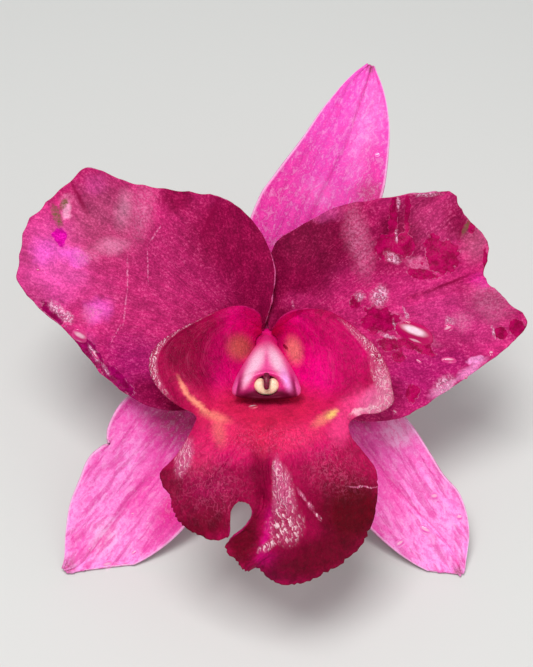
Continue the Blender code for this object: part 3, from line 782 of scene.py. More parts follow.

# %% [markdown]
# The right petal has most of the puddles. Each is an oval that the noise tears, so its edge wanders
# as water on wax does. The foam at their edges is pale and curled. Lilac patches of painted sheen lie
# near its lower edge, and painted shade darkens the crease along its midrib.

# %% The right petal's face
right_face = petal_face(
    "right_petal_velvet",
    waters=(tint(132, 0, 56), tint(176, 0, 84)),
    patches=[
        (MAROON, 0.95, 9.5, 19, 11.5, 8.5, 25, 0.45), (DEEP, 0.95, 6, 8, 7, 8, 0, 0.6),
        (DEEP, 0.85, 29.6, 21.5, 6.5, 7, 0, 0.6), (DEEP, 0.5, 21.5, 27.4, 3.6, 2.6, 10),
        (DEEP, 0.5, 19.6, 20, 4.6, 7, 12), (DEEP, 0.5, 26, 16.4, 4, 3),
        (MAUVE, 0.7, 38, 25.5, 7, 6, 0, 0.6), (PINK, 0.2, 42, 3, 11, 6, -20, 0.8),
        (HOT_MAGENTA, 0.8, 47, 11.6, 2.6, 1.3), (MAUVE, 0.5, 48, 6, 7, 3.4, -35),
        (DEEP, 0.8, 42.4, 25.6, 3, 4), (PLUM, 0.5, 41, -5.6, 3.6, 2),
        (PLUM, 0.6, 34, -10, 13, 6, 20, 0.6), (LILAC_SHEEN, 0.7, 45.6, -8, 3.6, 1, 36, 0.6),
        (DEEP, 0.6, 28.4, -13.4, 2.8, 3), (DEEP, 0.4, 42, -2, 5.4, 3.6), (DEEP, 0.4, 26.6, -3.6, 3, 2.6),
        (MAROON, 0.6, 29.6, 22.4, 4, 4), (DUSTY, 0.6, 46.4, 20.6, 2.8, 4),
        (MAROON, 0.4, 44.4, 22.4, 2.4, 2.4), (ROSE, 0.5, 44.4, 10.8, 3, 2.4),
        (PINK, 0.3, 13.2, 27, 3, 1.8), (ROSE, 0.8, 8.6, 7.2, 4.6, 2),
        (LILAC_SHEEN, 0.85, 46.3, -5.9, 1.9, 0.9, 5, 0.3), (LILAC_SHEEN, 0.6, 39.6, -12.4, 3.4, 0.9, 34, 0.6),
    ],
    sheen_spots=[
        (20.4, 20.4, 2.2, 7, 12, 0.8), (33.6, 15.6, 2.8, 1.2, -14, 0.6), (50, 7.5, 4.4, 3.6, -40, 0.7),
        (43.4, 2.8, 2.2, 1.8, 0, 0.7), (40, -12, 2.6, 1.4, 30, 0.7), (29.5, 3.6, 2, 0.9, -30, 0.7),
        (34.6, -0.6, 3.4, 1, -25, 0.7),
    ],
    wet_spots=[
        (28.2, 24.8, 1, 6.2), (31.3, 26.6, 0.8, 4.2), (26.6, 19.2, 3, 2.8), (30.8, 19.4, 2, 3),
        (39.4, 17, 4.2, 3.8, 10), (34.6, 13.3, 3.4, 1.2, -10), (37, 20.4, 1.6, 2), (48.7, 16, 0.7, 3),
        (25.2, 3, 4.4, 3.2, -10), (19.8, 7, 1.4, 1.6), (27.6, -2.4, 2.8, 1.7, -10),
        (33.6, -2.8, 4.6, 1.4, -20), (29.6, -5.2, 1.6, 1.2), (32.4, -13.2, 1.6, 2), (56.2, 1.4, 2, 1.8),
        (52.5, 0, 1.5, 1.8, 0, 0.4), (45.6, 24, 0.9, 1.6, 20),
    ],
    foam_spots=[
        (25.2, 8.4, 1.7, 2.1, -20), (20.8, 8.4, 1, 1), (28, 16.8, 1.6, 0.8, -34, 0.7),
        (29.2, 28.8, 0.3, 1.2, 4, 0.6), (28.7, 1.5, 0.22, 1.5, 16), (29, 22, 0.3, 1.4, 0, 0.6),
        (27.4, -0.6, 1.6, 0.4, -16, 0.6), (31, 4.4, 0.35, 1.4, 20), (40.8, 2.8, 0.9, 0.9, 0, 0.6),
        (50.8, 0.2, 0.25, 1.4, 14), (39.6, -11.6, 2.2, 1.6, 40, 0.6), (35.6, 31, 3, 0.5, 4, 0.6),
    ],
    scar_spots=[(44.6, 23.7, 0.5, 2, -25, 0.4)],
    scratches=[(5.9, 6.5, 0.3, 0.8, 10)],
    # Painted shade along the groove of the midrib and in a crease by the scar.
    shaded_creases=[(41, 11.4, 4.6, 0.3, 22.5, 0.7), (43.6, 23.4, 0.3, 2.6, -20, 0.6)],
)
print("right petal:", right_face.name)

# %% [markdown]
# The back of a petal gets less light while it grows, so it is paler and duller, and its veins stand
# out. The rim is a thin pale line, which draws each outline against what lies behind it.

# %% Backs and rims


def blade_back(name, pale, dark):
    skin = Skin(name, 0.35)
    lines = times(skin.uv, 46, 2)
    veins = soft(blotches(lines, 1, 2, 0.55), 0.42, 0.62)
    clouds = blotches(skin.place, 4)
    colour = paint(0.25 + 0.45 * veins, pale, dark)
    colour = paint(0.5 * soft(clouds, 0.4, 0.7), colour, pale)
    return skin.done(colour, 0.5 + 0.2 * clouds, veins + 0.4 * blotches(skin.place, 0.4, 2))


def blade_rim(name, pale, dark, deep):
    skin = Skin(name, 0.05)
    spots = blotches(skin.place, 0.9)
    colour = paint(soft(spots, 0.35, 0.65), pale, dark)
    return skin.done(paint(soft(skin.along, 0.2, 0.4), deep, colour), 0.35 + 0.2 * spots)


petal_back = blade_back("petal_back", tint(222, 96, 152), tint(168, 38, 96))
petal_rim = blade_rim("petal_rim", tint(226, 110, 168), tint(176, 30, 92), tint(112, 2, 48))
sepal_back = blade_back("sepal_back", tint(236, 150, 196), tint(206, 84, 148))
sepal_rim = blade_rim("sepal_rim", tint(252, 190, 228), tint(236, 120, 190), tint(206, 84, 148))
lip_back = blade_back("lip_back", tint(206, 60, 118), tint(140, 14, 66))
lip_rim = blade_rim("lip_rim", tint(190, 26, 100), tint(150, 8, 76), tint(150, 8, 76))
print("backs and rims ready")

# %% [markdown]
# The sepals are orchid pink with a paler edge. Darker veins run along them, broken up by the same
# sparkling cells, and a painted crimson shade darkens each of them near the lip.

# %% Orchid pink for the sepals
ORCHID = tint(246, 78, 178)
ORCHID_LIGHT = tint(255, 156, 230)
ORCHID_HOT = tint(246, 70, 172)
ORCHID_DEEP = tint(214, 36, 142)
ORCHID_MAGENTA = tint(222, 20, 130)
ORCHID_WHITE = tint(255, 206, 242)
ORCHID_SHADE = tint(176, 48, 104)
SEPAL_BROWN = tint(150, 62, 70)
# Crimson of painted shade near the lip.
SEPAL_SHADE_CRIMSON = tint(150, 12, 72)


def sepal_face(name, turn, base, tip, patches, vein_share, stains):
    skin = Skin(name, 0.1)
    torn = ragged(skin.place, 3, 3)
    colour = tones(paint(soft(skin.along, 0.2, 1), base, tip), torn, patches)
    lines = stretched(ragged(skin.place, 5, 1.2), 1.15, 11, turn)
    veins = soft(blotches(lines, 1, 3, 0.55), 0.48, 0.64)
    dabs = blotches(stretched(torn, 0.9, 2, turn), 1, 3, 0.65)
    across = part(skin.uv, 0)
    middle = across.sum_of("ABSOLUTE", across - 0.5)
    cells = blotches(skin.place, 0.42, 3, 0.7)
    colour = layered(
        colour,
        (0.5 * soft(dabs, 0.54, 0.36), ORCHID_HOT),
        (0.2 * soft(dabs, 0.5, 0.66), ORCHID_WHITE),
        (vein_share * veins, ORCHID_DEEP),
        (vein_share * soft(middle, 0.025, 0), ORCHID_DEEP),
        (0.6 * soft(middle, 0.475, 0.497) * soft(skin.along, 0.2, 0.4), ORCHID_WHITE),
        (0.25 * soft(cells, 0.5, 0.34), ORCHID_DEEP),
        (0.16 * soft(cells, 0.52, 0.68), ORCHID_WHITE),
        (0.75 * ovals(ragged(skin.place, 0.9, 0.8), stains) * soft(cells, 0.3, 0.6), SEPAL_BROWN),
    )
    return skin.done(colour, 0.42 + 0.2 * cells, cells + 0.7 * veins)


print("sepal face ready")

# %% [markdown]
# Each sepal gets its own patches. The turn is the direction of its veins, in degrees, so they run
# along the blade however it lies.

# %% The faces of the three sepals
sepal_faces = {
    "dorsal_sepal": sepal_face(
        "dorsal_sepal_pink",
        -25.5,
        tint(200, 34, 140),
        tint(234, 78, 192),
        [
            # The light patch at (12, 32) is painted sheen, and the crimson at the base and the shade
            # patch are painted shade.
            (ORCHID_DEEP, 0.6, 3, 34, 3.4, 12, -38), (ORCHID_LIGHT, 0.25, 12, 32, 4, 3, -20, 0.8),
            (ORCHID_DEEP, 0.4, 8.4, 31.6, 2.4, 2.6, 0, 0.8), (ORCHID_LIGHT, 0.4, 23, 48, 3, 11, -12, 0.8),
            (ORCHID_DEEP, 0.6, 24.6, 35.4, 2.6, 8), (ORCHID_DEEP, 0.5, 1.8, 32.6, 3, 3),
            (SEPAL_SHADE_CRIMSON, 0.9, 1, 6, 8, 10, 0, 0.6), (ORCHID_SHADE, 0.8, 23.8, 31.6, 3.4, 3),
        ],
        0.14,
        [(24, 61.2, 0.8, 1.4, 0, 0.6)],
    ),
    "lateral_sepal_left": sepal_face(
        "left_sepal_pink",
        -39,
        ORCHID,
        ORCHID_LIGHT,
        [
            (ORCHID_SHADE, 0.85, -18, -20, 8, 7, 0, 0.6), (ORCHID_HOT, 0.7, -30, -38, 3.6, 13, -39, 0.8),
            (ORCHID_MAGENTA, 0.9, -21, -39.6, 3, 7, -36), (ORCHID_HOT, 0.5, -25, -47, 5, 3, 30),
            (ORCHID_LIGHT, 0.8, -35.4, -45, 3.4, 5, -39), (ORCHID_LIGHT, 0.6, -33, -32, 3.4, 8, -20),
            (ORCHID_WHITE, 0.5, -37.4, -46.8, 2.6, 4, -39, 0.8),
            (ORCHID_MAGENTA, 0.6, -20.6, -42.8, 2.6, 2.6), (ORCHID_HOT, 0.6, -42.6, -47.6, 2.6, 3.4),
        ],
        0.52,
        [(-36.6, -24.8, 0.9, 0.7), (-45.4, -53.4, 1.6, 2, -40, 0.8)],
    ),
    "lateral_sepal_right": sepal_face(
        "right_sepal_pink",
        32.7,
        ORCHID,
        ORCHID_LIGHT,
        [
            # The crimson next to the lip's lobe is its painted shadow, and the white patch below the
            # right petal is painted light that lifts the petal's cast shadow there.
            (SEPAL_SHADE_CRIMSON, 0.85, 21.4, -19, 3.6, 2.6, -10, 0.6),
            (ORCHID_WHITE, 0.6, 30, -22.4, 3.4, 3, 0, 0.6), (ORCHID_HOT, 0.6, 27, -34, 3, 9, 30, 0.8),
            (ORCHID_HOT, 0.6, 24, -44, 3, 5, 40, 0.8), (ORCHID_LIGHT, 0.6, 38, -42, 5, 8, 24, 0.8),
            (ORCHID_LIGHT, 0.7, 35.5, -36, 3, 5, 24, 0.8),
        ],
        0.52,
        [(43.6, -54.6, 1, 1.6, 10, 0.6)],
    ),
}
print("sepal faces:", len(sepal_faces))

# %% [markdown]
# The lip is the darkest piece and the glossiest, with the finest wrinkles. Its tube and disc are red
# going to orange, two yellow eyes sit inside the side lobes, and two orange flames mark where the
# lobes part. The broad lobe below is crimson, and painted shade makes it nearly black on its right
# side, which turns away from the light. Painted sheen and glints make its wrinkles shine like
# crumpled foil along the middle, at both shoulders and on the turned rims of the side lobes.

# %% Crimson for the lip
LIP_MAGENTA = tint(214, 2, 108)
LIP_CRIMSON = tint(166, 2, 70)
LIP_HOT = tint(232, 0, 124)
LIP_DARK = tint(124, 0, 46)
# Near-black crimson of painted shade, where the lip turns away from the light or sinks into a recess.
LIP_SHADE_BLACK = tint(92, 0, 20)
LIP_PURPLE = tint(178, 2, 104)
LIP_PLUM = tint(110, 0, 56)
LIP_VIOLET = tint(206, 0, 118)
DISC_RED = tint(206, 30, 76)
DISC_PINK = tint(230, 44, 104)
LOBE_PINK = tint(255, 70, 142)
FLAME = tint(252, 150, 124)
FLAME_YELLOW = tint(255, 206, 116)
EYE_LEFT = tint(200, 100, 84)
EYE_RIGHT = tint(240, 120, 124)
GLINT = tint(255, 212, 222)
GLINT_EDGE = tint(208, 74, 120)
# Pinks of the painted sheen on the crumpled skin and on the right side lobe's fold.
FOIL_SHEEN_PINK = tint(218, 94, 146)
FOLD_SHEEN_PINK = tint(234, 116, 160)
LIP_TONES = [
    # Painted shade: the dark patches inside the left side lobe, in the middle groove, on the rolled knob
    # at the left and over the broad lobe's right side, which turns away from the light, and the
    # near-black ones there and round the notch. The magenta patch inside the right side lobe is partly
    # painted light, where it faces the light. Painted sheen and a painted glint lie by the right lobe's
    # fold.
    (LIP_DARK, 0.8, -17.5, -5, 4.6, 8, 12, 0.6), (LIP_DARK, 0.3, -11, 1, 3, 4, 0, 0.8),
    (LIP_MAGENTA, 0.9, 14, -4, 7, 6, 0, 0.6), (LIP_HOT, 0.75, -4.6, 3.2, 4.2, 2.8),
    (LIP_HOT, 0.75, 5, 3.8, 4, 2.8), (LIP_DARK, 0.5, -11, -6.6, 3, 4.4, 0, 0.8),
    (LIP_HOT, 0.8, 9.6, -9, 3, 4, 30), (LIP_DARK, 0.5, -15, -0.6, 4, 4, 20),
    (LIP_MAGENTA, 0.8, -7.4, -9, 2.6, 4, -20), (LIP_MAGENTA, 0.7, -2, -22.6, 13, 4, 0, 0.5),
    (LIP_CRIMSON, 1, 2, -38, 24, 14, 0, 0.25), (LIP_PURPLE, 0.3, -13, -31.5, 6, 5, 10, 0.6),
    (LIP_DARK, 0.9, -14, -37.5, 8, 4.4, 16, 0.5), (LIP_DARK, 0.5, -6, -32, 5, 4),
    (LIP_DARK, 0.95, -19.8, -30.4, 2.8, 3.4, 10, 0.4), (LIP_DARK, 0.8, -1.2, -27.5, 1.8, 8),
    (LIP_SHADE_BLACK, 0.9, -5, -43, 3.2, 4.6, 0, 0.6), (LIP_SHADE_BLACK, 0.7, -2.8, -38.6, 1.5, 3, 0, 0.6),
    (LIP_SHADE_BLACK, 0.6, -12.5, -39.2, 5.4, 2.8, 16, 0.6), (LIP_DARK, 0.7, -17, -33, 2.6, 3, 0, 0.6),
    (LIP_DARK, 0.6, -13.4, -29, 4.6, 2.6, 10, 0.6), (DISC_PINK, 0.45, -13.2, -24.6, 3.2, 3.4),
    (LIP_PLUM, 0.9, 4, -47.8, 7, 3, 10, 0.6), (LIP_VIOLET, 0.85, 0.1, -40.6, 0.9, 5.4, -14, 0.8),
    (LIP_VIOLET, 0.7, 0.6, -45.6, 2, 1.4, 0, 0.8), (LIP_DARK, 0.95, 9.5, -45.5, 10, 4.8, 15, 0.5),
    (LIP_DARK, 0.95, 14.6, -34, 7.4, 6, 10, 0.6), (LIP_SHADE_BLACK, 1, 17.8, -36.6, 6.6, 6, 12, 0.5),
    (LIP_SHADE_BLACK, 0.6, 12, -45, 9, 3.6, 22, 0.6), (DISC_RED, 0.9, 0, -15.4, 14, 4.6, 0, 0.5),
    (DISC_RED, 0.8, -1, -20.5, 11, 3.6), (DISC_PINK, 0.6, 8, -20.4, 5, 2.2, 14, 0.8),
    (DISC_PINK, 0.6, -9, -19, 4, 2, -10, 0.8), (LOBE_PINK, 0.65, 19.2, -14.8, 4.8, 2.4, 24),
    (LIP_CRIMSON, 0.6, 17.6, -6.4, 2.4, 4, 10, 0.8), (LIP_CRIMSON, 0.5, 15, -0.6, 4, 3, 0, 0.8),
    (LOBE_PINK, 0.6, 15.2, -19.8, 2.2, 2.6), (FOIL_SHEEN_PINK, 0.8, 22.4, -14.2, 3.4, 2.2, 34, 0.6),
    (GLINT, 0.75, 21, -15.9, 3, 0.45, 20, 0.6),
]
FLAMES = [
    (DISC_PINK, 0.4, -15.6, -13.2, 5.6, 1.4, -48, 0.8), (FLAME, 0.75, -17.4, -11.6, 2.4, 0.5, -62),
    (FLAME, 0.85, -14.6, -14.6, 3, 0.55, -38, 0.8), (FLAME, 0.45, -10.6, -17.2, 2.6, 0.7, -16, 0.9),
    (FLAME, 0.3, -9.8, -19.8, 1.2, 2.6, 14, 0.9), (FLAME, 0.5, 12, -17.6, 2.4, 0.9, 30, 0.8),
    (FLAME_YELLOW, 0.8, 13.6, -16.8, 1.2, 0.55, 30, 0.8), (EYE_LEFT, 0.75, -5.9, -3, 2.4, 2.6, 20, 0.6),
    (EYE_RIGHT, 0.95, 6.1, -3.6, 1.5, 2.6, 12), (LIP_DARK, 0.9, 4.2, -3, 0.25, 0.8, 40, 0.4),
]
print("lip patches:", len(LIP_TONES) + len(FLAMES))

# %% [markdown]
# Foil is the name used here for the lip's crumpled glossy skin. It lies in a stripe down the broad
# lobe, at both of its shoulders, and on the turned rims of the side lobes. Its pale pink, its bright
# crests and its dark hollows are painted sheen, highlight and shade, as is the sheen on the right
# side lobe's fold. The rims follow the blade's own map, so that they stay on the edge wherever it
# curls.

# %% Where the lip is crumpled
FOIL_MIDDLE = [(2.3, -27.6, 0.8, 2.6, 4), (3, -31, 1.9, 4, 8), (3.4, -35, 2.2, 4.2, 8)]
FOIL_LOW = [
    (3.9, -38.8, 3, 3.3), (1.3, -42.2, 3, 0.8, 35), (7, -32.4, 0.3, 1.3, 36, 0.7),
    (8.8, -34.9, 0.45, 0.9, 40, 0.7), (10.2, -36.9, 0.25, 1, 40, 0.7),
]
FOIL_SIDES = [(-16.8, -25.4, 1.5, 3.4, -16), (19.8, -31.4, 2.9, 0.16, -4, 0.6)]
CREASED = [
    (-11, -30, 6.4, 6, 20, 0.9), (13.6, -27, 6.6, 4.6, -20, 0.9), (0, -21.6, 11, 2.4, 0, 0.9),
    (-9.4, -34.6, 4, 1.6, 10, 0.8),
]
# Where painted sheen and glints lie on the turned rims of the side lobes, on the blade's own map.
RIM_FOIL = [
    (0.133, 0.985, 0.05, 0.036), (0.893, 0.95, 0.026, 0.045, 0, 0.6), (0.864, 0.93, 0.02, 0.05, 0, 0.6),
]
# Where the painted sheen lies on the right side lobe's fold, on the blade's own map.
RIM_FOLD_SHEEN = [(0.834, 0.95, 0.028, 0.055), (0.852, 0.95, 0.02, 0.045, 0, 0.7)]


print("foil spots:", len(FOIL_MIDDLE) + len(FOIL_LOW) + len(FOIL_SIDES))

# %% [markdown]
# The lip's skin is laid in the same order as a petal's, with one step more. Foil and creases need a
# slope rather than a tone, because crumpled skin is bright only where it turns to the light, so their
# light and shade are painted from that slope. The slope is the difference of one pattern between two
# places that lie close together.

# %% The face of the lip


def lip_face():
    skin = Skin("lip_crimson", 0.04)
    colour = paint(soft(skin.along, 0.3, 0.7), LIP_MAGENTA, LIP_CRIMSON)
    colour = tones(colour, ragged(skin.place, 2.5, 2.4), LIP_TONES)
    colour = tones(colour, ragged(skin.place, 0.8, 1.1), FLAMES)
    upper = soft(part(skin.place, 1), -13, -9)
    lines = blotches(times(ragged(skin.uv, 0.06, 0.03), 200, 8), 1)
    fine = blotches(ragged(skin.place, 1.5, 1.2), 0.6, 3, 0.7)
    broad = blotches(ragged(skin.place, 3, 2), 2.2, 4, 0.65)
    colour = shaded(colour, 1.1 - 0.25 * soft(broad, 0.45, 0.66))
    margin = soft(skin.along, 0.84, 0.95) * soft(part(skin.place, 1), -20, -26)
    colour = shaded(colour, 0.93 + (0.14 + 0.3 * margin) * soft(lines, 0.34, 0.66) - 0.1 * margin)
    colour = shaded(colour, 0.9 + 0.2 * soft(fine, 0.36, 0.66))
    arcs = contours(times(ragged(skin.uv, 0.2, 0.12), 6, 14), 1, 0.02)
    # Thin arcs of painted highlight over the upper part of the lip.
    colour = paint(0.16 * arcs * upper, colour, GLINT_EDGE)

    slope = creased(skin.place, 0.45, 1.3, 12)
    film = contours(ragged(skin.place, 1.8, 1.8), 1.6, 0.04)
    shaded_creases = ovals(ragged(skin.place, 2.4, 2), CREASED)
    # Painted light and shade on the creases, following their slope, and painted glints on their crests.
    colour = shaded(colour, 1 + shaded_creases * (0.35 * soft(slope, 0.5, 0.9) - 0.2 * soft(slope, 0.5, 0.1)))
    colour = paint(0.42 * shaded_creases * larger(film, soft(slope, 0.72, 0.95)), colour, GLINT_EDGE)

    sharp_side = soft(part(ragged(skin.place, 2, 0.8), 0), 0.8, 1.4)
    torn = ragged(skin.place, 2.4, 1.6)
    middle = larger(ovals(torn, FOIL_MIDDLE) * sharp_side, ovals(torn, FOIL_LOW))
    rims = ovals(ragged(skin.uv, 0.03, 0.02), RIM_FOIL)
    foil = larger(larger(middle, ovals(torn, FOIL_SIDES)), rims)
    silky = 0.7 * slope + 0.3 * facets(skin.place, 0.4, 0.9, 14)
    crumpled = 0.3 * slope + 0.7 * facets(skin.place, 0.5, 1.1, 44)
    lower = soft(part(skin.place, 1), -33, -37)
    lit = silky + lower * (crumpled - silky)
    crisp = larger(lower, rims)
    fold_sheen = ovals(ragged(skin.uv, 0.03, 0.02), RIM_FOLD_SHEEN)
    # Painted sheen over the crumpled skin, painted shade where its facets turn away and painted glints
    # where they face the light; then painted sheen with glint lines on the right lobe's fold.
    colour = layered(
        colour,
        ((0.8 - 0.35 * crisp) * foil, FOIL_SHEEN_PINK),
        ((0.4 + 0.4 * crisp) * foil * soft(lit, 0.48, 0.34), LIP_CRIMSON),
        ((0.6 + 0.3 * crisp) * foil * soft(lit, 0.55, 0.8), GLINT),
        (0.85 * fold_sheen, FOLD_SHEEN_PINK),
        (0.6 * fold_sheen * film, GLINT),
    )
    glossy = larger(larger(foil, fold_sheen), 0.4 * shaded_creases)
    lumps = blotches(stretched(ragged(skin.place, 1.8, 1.6), 0.9, 1.7, 12), 1)
    skin.film(0.1 + 0.9 * glossy, colour, lumps + 0.2 * foil * lit, 0.9, 0.3)
    return skin.done(colour, 0.5 + 0.2 * fine, slope + 0.4 * lines + 0.4 * fine, 0.12)


lip_skin = lip_face()
print("lip face:", lip_skin.name)

# %% [markdown]
# The petals come first. Each one gets the edge ruffle of its solid, a few furrows and ridges that
# the light picks out, raised veins that fan from the base, and soft dimples between them.

# %% Make the petals
PETAL_CELLS = (280, 120)
PETAL_THICK = 0.75


def laid(surface, cells):
    """Grid of points on a surface, and how far across and along each one lies, from 0 to 1."""
    across, along = (np.linspace(0, 1, count + 1) for count in cells)
    return surface(across, along), across[:, None] + 0 * along, 0 * across[:, None] + along


def raised(points, rise, s):
    """Adds the heights, which fade out at the base."""
    points[:, :, 2] += rise * np.clip(s * 6, 0, 1)
    return points


def petal_points(surface, ruffle, furrows, seed):
    points, t, s = laid(surface, PETAL_CELLS)
    frill = np.abs(grain(t[:, 0] * 34, t[:, 0] * 0, seed + 7)) * 2
    points = notched(points, 0.001 + 0.011 * frill)
    rise = ruffle(t, s) + 0.5 * grain(t * 26, s * 2, seed + 8) * s**10
    for line in furrows:
        rise = rise + furrow(points, *line)
    vein_lines = ridges(t * 34 + grain(t * 6, s * 3, seed) * 1.2, s * 1.5, seed + 5)
    rise = rise + 0.05 * vein_lines * np.clip(s * 3, 0, 1) * (1 - 0.6 * s)
    rise = rise + 0.22 * grain(points[:, :, 0] / 7, points[:, :, 1] / 7, seed + 9)
    rise = rise + 0.05 * grain(points[:, :, 0] / 1.8, points[:, :, 1] / 1.8, seed + 2)
    return raised(points, rise, s)


left_points = petal_points(
    left_petal,
    waves(0.9, 6, 0.6),
    [
        ((-43.8, 33.1), (-38.2, 22), 2.2, 0.9), ((-9.3, 30.9), (-13.7, 18.6), 2.4, 0.8),
        ((-28, 30), (-26, 16), 3, -0.6), ((-46, 22), (-36, 16), 3, 0.6),
        ((-41, -2), (-29, -14.5), 1.6, 0.7),
    ],
    seed=3,
)
right_points = petal_points(
    right_petal,
    waves(0.9, 7, 1.9),
    [
        ((32, 7.4), (49.1, 12.6), 1.2, 1.3), ((17.5, 26.4), (21.3, 13.7), 3.2, -0.9),
        ((43.5, 26.8), (45.3, 20.8), 1.2, 0.8), ((28.5, 28), (27, 18), 2.4, 0.7),
        ((24, 3), (36, -4), 3, 0.6),
    ],
    seed=11,
)
blade("petal_left", left_points, PETAL_THICK, [left_face, petal_back, petal_rim])
blade("petal_right", right_points, PETAL_THICK, [right_face, petal_back, petal_rim])

# %% [markdown]
# The sepals lie flatter. Raised veins run their whole length, and the two lower ones are trimmed
# level where they touch the table, like their solids.

# %% Make the sepals
SEPAL_CELLS = (72, 220)
SEPAL_THICK = 0.8


def sepal_points(surface, seed):
    points, t, s = laid(surface, SEPAL_CELLS)
    rise = waves(0.35, 3, 0.4)(t, s)
    lines = np.cos(2 * math.pi * (9 * t + 0.3 * grain(t * 2, s * 4, seed)))
    rise = rise + 0.06 * lines * np.sin(math.pi * np.clip(s, 0, 1))
    rise = rise - 0.35 * np.exp(-(((t - 0.5) / 0.035) ** 2)) * np.clip(s * 3, 0, 1)
    rise = rise + 0.1 * grain(points[:, :, 0] / 3, points[:, :, 1] / 3, seed + 4)
    return raised(points, rise, s)


TABLE_CLEAR = 0.62  # millimetres from the table to the middle of a blade that rests on it


def above_table(points):
    """Bends what would pass through the table out along the face's own up direction."""
    low = to_world(points)[:, :, 2] / MM - TABLE_CLEAR
    points[:, :, 1] += np.clip(-low, 0, None) / math.sin(LEAN_BACK)
    return points


NICK = (-36.9, -24.9)  # where something has bitten the left sepal's edge
NICK_REACH = 0.55
NICK_DEEP = 1.1


def nicked(points):
    away = np.linalg.norm(points[:, :, :2] - np.array(NICK), axis=2)
    points[:, :, 0] += NICK_DEEP * np.exp(-((away / NICK_REACH) ** 2))
    return points


for number, (name, stations) in enumerate(SEPALS.items()):
    points = above_table(nicked(sepal_points(strip(stations, SEPAL_CHANNEL), 20 + number)))
    blade(name, points, SEPAL_THICK, [sepal_faces[name], sepal_back, sepal_rim])

# %% [markdown]
# The lip has the finest relief. Wrinkles run out from the throat and curl on the broad lobe, a deep
# groove marks its middle, the side lobes curl back along their rims, and the broad lobe's margin is
# cut into small teeth.

# %% Make the lip
LIP_CELLS = (400, 116)
LIP_THICK = 0.7


def lip_points():
    points, t, s = laid(lip, LIP_CELLS)
    knot = t * LIP_LAST
    teeth = np.abs(grain(knot[:, 0] * 4.2, knot[:, 0] * 0, 7)) * 2
    on_lobe = np.clip((knot[:, 0] - 14) / 2, 0, 1) * np.clip((45 - knot[:, 0]) / 2, 0, 1)
    points = notched(points, 0.002 + 0.014 * teeth * on_lobe)
    rise = waves(0.5, 13, 0.3, 8)(t, s)
    below = np.clip((knot - 14) / 3, 0, 1) * np.clip((45 - knot) / 3, 0, 1)
    below = np.clip((s - 0.42) / 0.2, 0, 1) * below
    bend = grain(t * 9, s * 5, 30)
    streaks = ridges(knot * 1.5 + bend * 1.6, s * 5 + bend, 31)
    rise = rise + 0.2 * streaks * below
    side = np.clip((s - 0.3) / 0.2, 0, 1) * (1 - below)
    rise = rise + 0.07 * ridges(knot * 1.2 + bend, s * 3, 33) * side
    rise = rise + furrow(points, (-0.9, -22.5), (-1.2, -33), 1.5, 1.1) * below
    rise = rise + furrow(points, (4, -26), (5.6, -45), 2.6, -0.9) * below
    lobes = np.clip((13 - knot) / 2, 0, 1) + np.clip((knot - 46) / 2, 0, 1)
    away_from_seam = np.clip(np.minimum(knot, LIP_LAST - knot) / 4 - 0.5, 0, 1)
    rise = rise - 2.2 * np.clip((s - 0.8) / 0.2, 0, 1) ** 2 * lobes * away_from_seam
    return raised(points, rise, s)


blade("lip", lip_points(), LIP_THICK, [lip_skin, lip_back, lip_rim])

# %% [markdown]
# Stem, column and cap are round bodies. A grid can be rolled into such a body: its columns go round
# and its rows go along, the seam and the ends are merged, and the skin is closed. That keeps the
# same map for the pattern as on a blade.

# %% A grid rolled into a closed body


def rolled(name, place, cells, look, node):
    """Closed body from place(round, along), which gives a point on the face in millimetres."""
    bm = bmesh.new()
    bm.loops.layers.uv.new("blade")
    bmesh.ops.create_grid(bm, x_segments=cells[0], y_segments=cells[1], size=0.5, calc_uvs=True)
    for vert in bm.verts:
        i = round((vert.co.x + 0.5) * cells[0]) % cells[0]
        vert.co = Vector(place(i / cells[0], vert.co.y + 0.5)) * MM
    bmesh.ops.remove_doubles(bm, verts=bm.verts, dist=0.00001 * MM)
    bmesh.ops.holes_fill(bm, edges=[edge for edge in bm.edges if edge.is_boundary], sides=0)
    bmesh.ops.recalc_face_normals(bm, faces=bm.faces)
    bmesh.ops.transform(bm, matrix=Matrix.Translation(MIDDLE) @ TURN.to_4x4(), verts=bm.verts)
    piece = new_piece(bm, name, [look])
    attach(piece, "root")
    if node:
        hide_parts(node)


# %% [markdown]
# The column is the flower's heart, a waxy hood that carries the pollen under a small cap. It is
# nearly white on its shoulders, partly as a painted highlight where they face the light, with a
# magenta line down its middle and magenta edges. Underneath it is maroon, deepened by painted shade,
# and painted highlights lie on the cheeks beside the cap. A tooth of it hangs over the cap.

# %% Wax for the column
# White of the shoulders, partly a painted highlight where they face the light, and of a painted highlight
# on the left cheek.
COLUMN_WHITE = tint(255, 212, 236)
COLUMN_PINK = tint(248, 104, 172)
COLUMN_MAGENTA = tint(224, 36, 128)
# Maroon of the underside, deepened as painted shade under the hood and between the flanges and the
# cheeks.
COLUMN_SHADE_MAROON = tint(96, 2, 40)
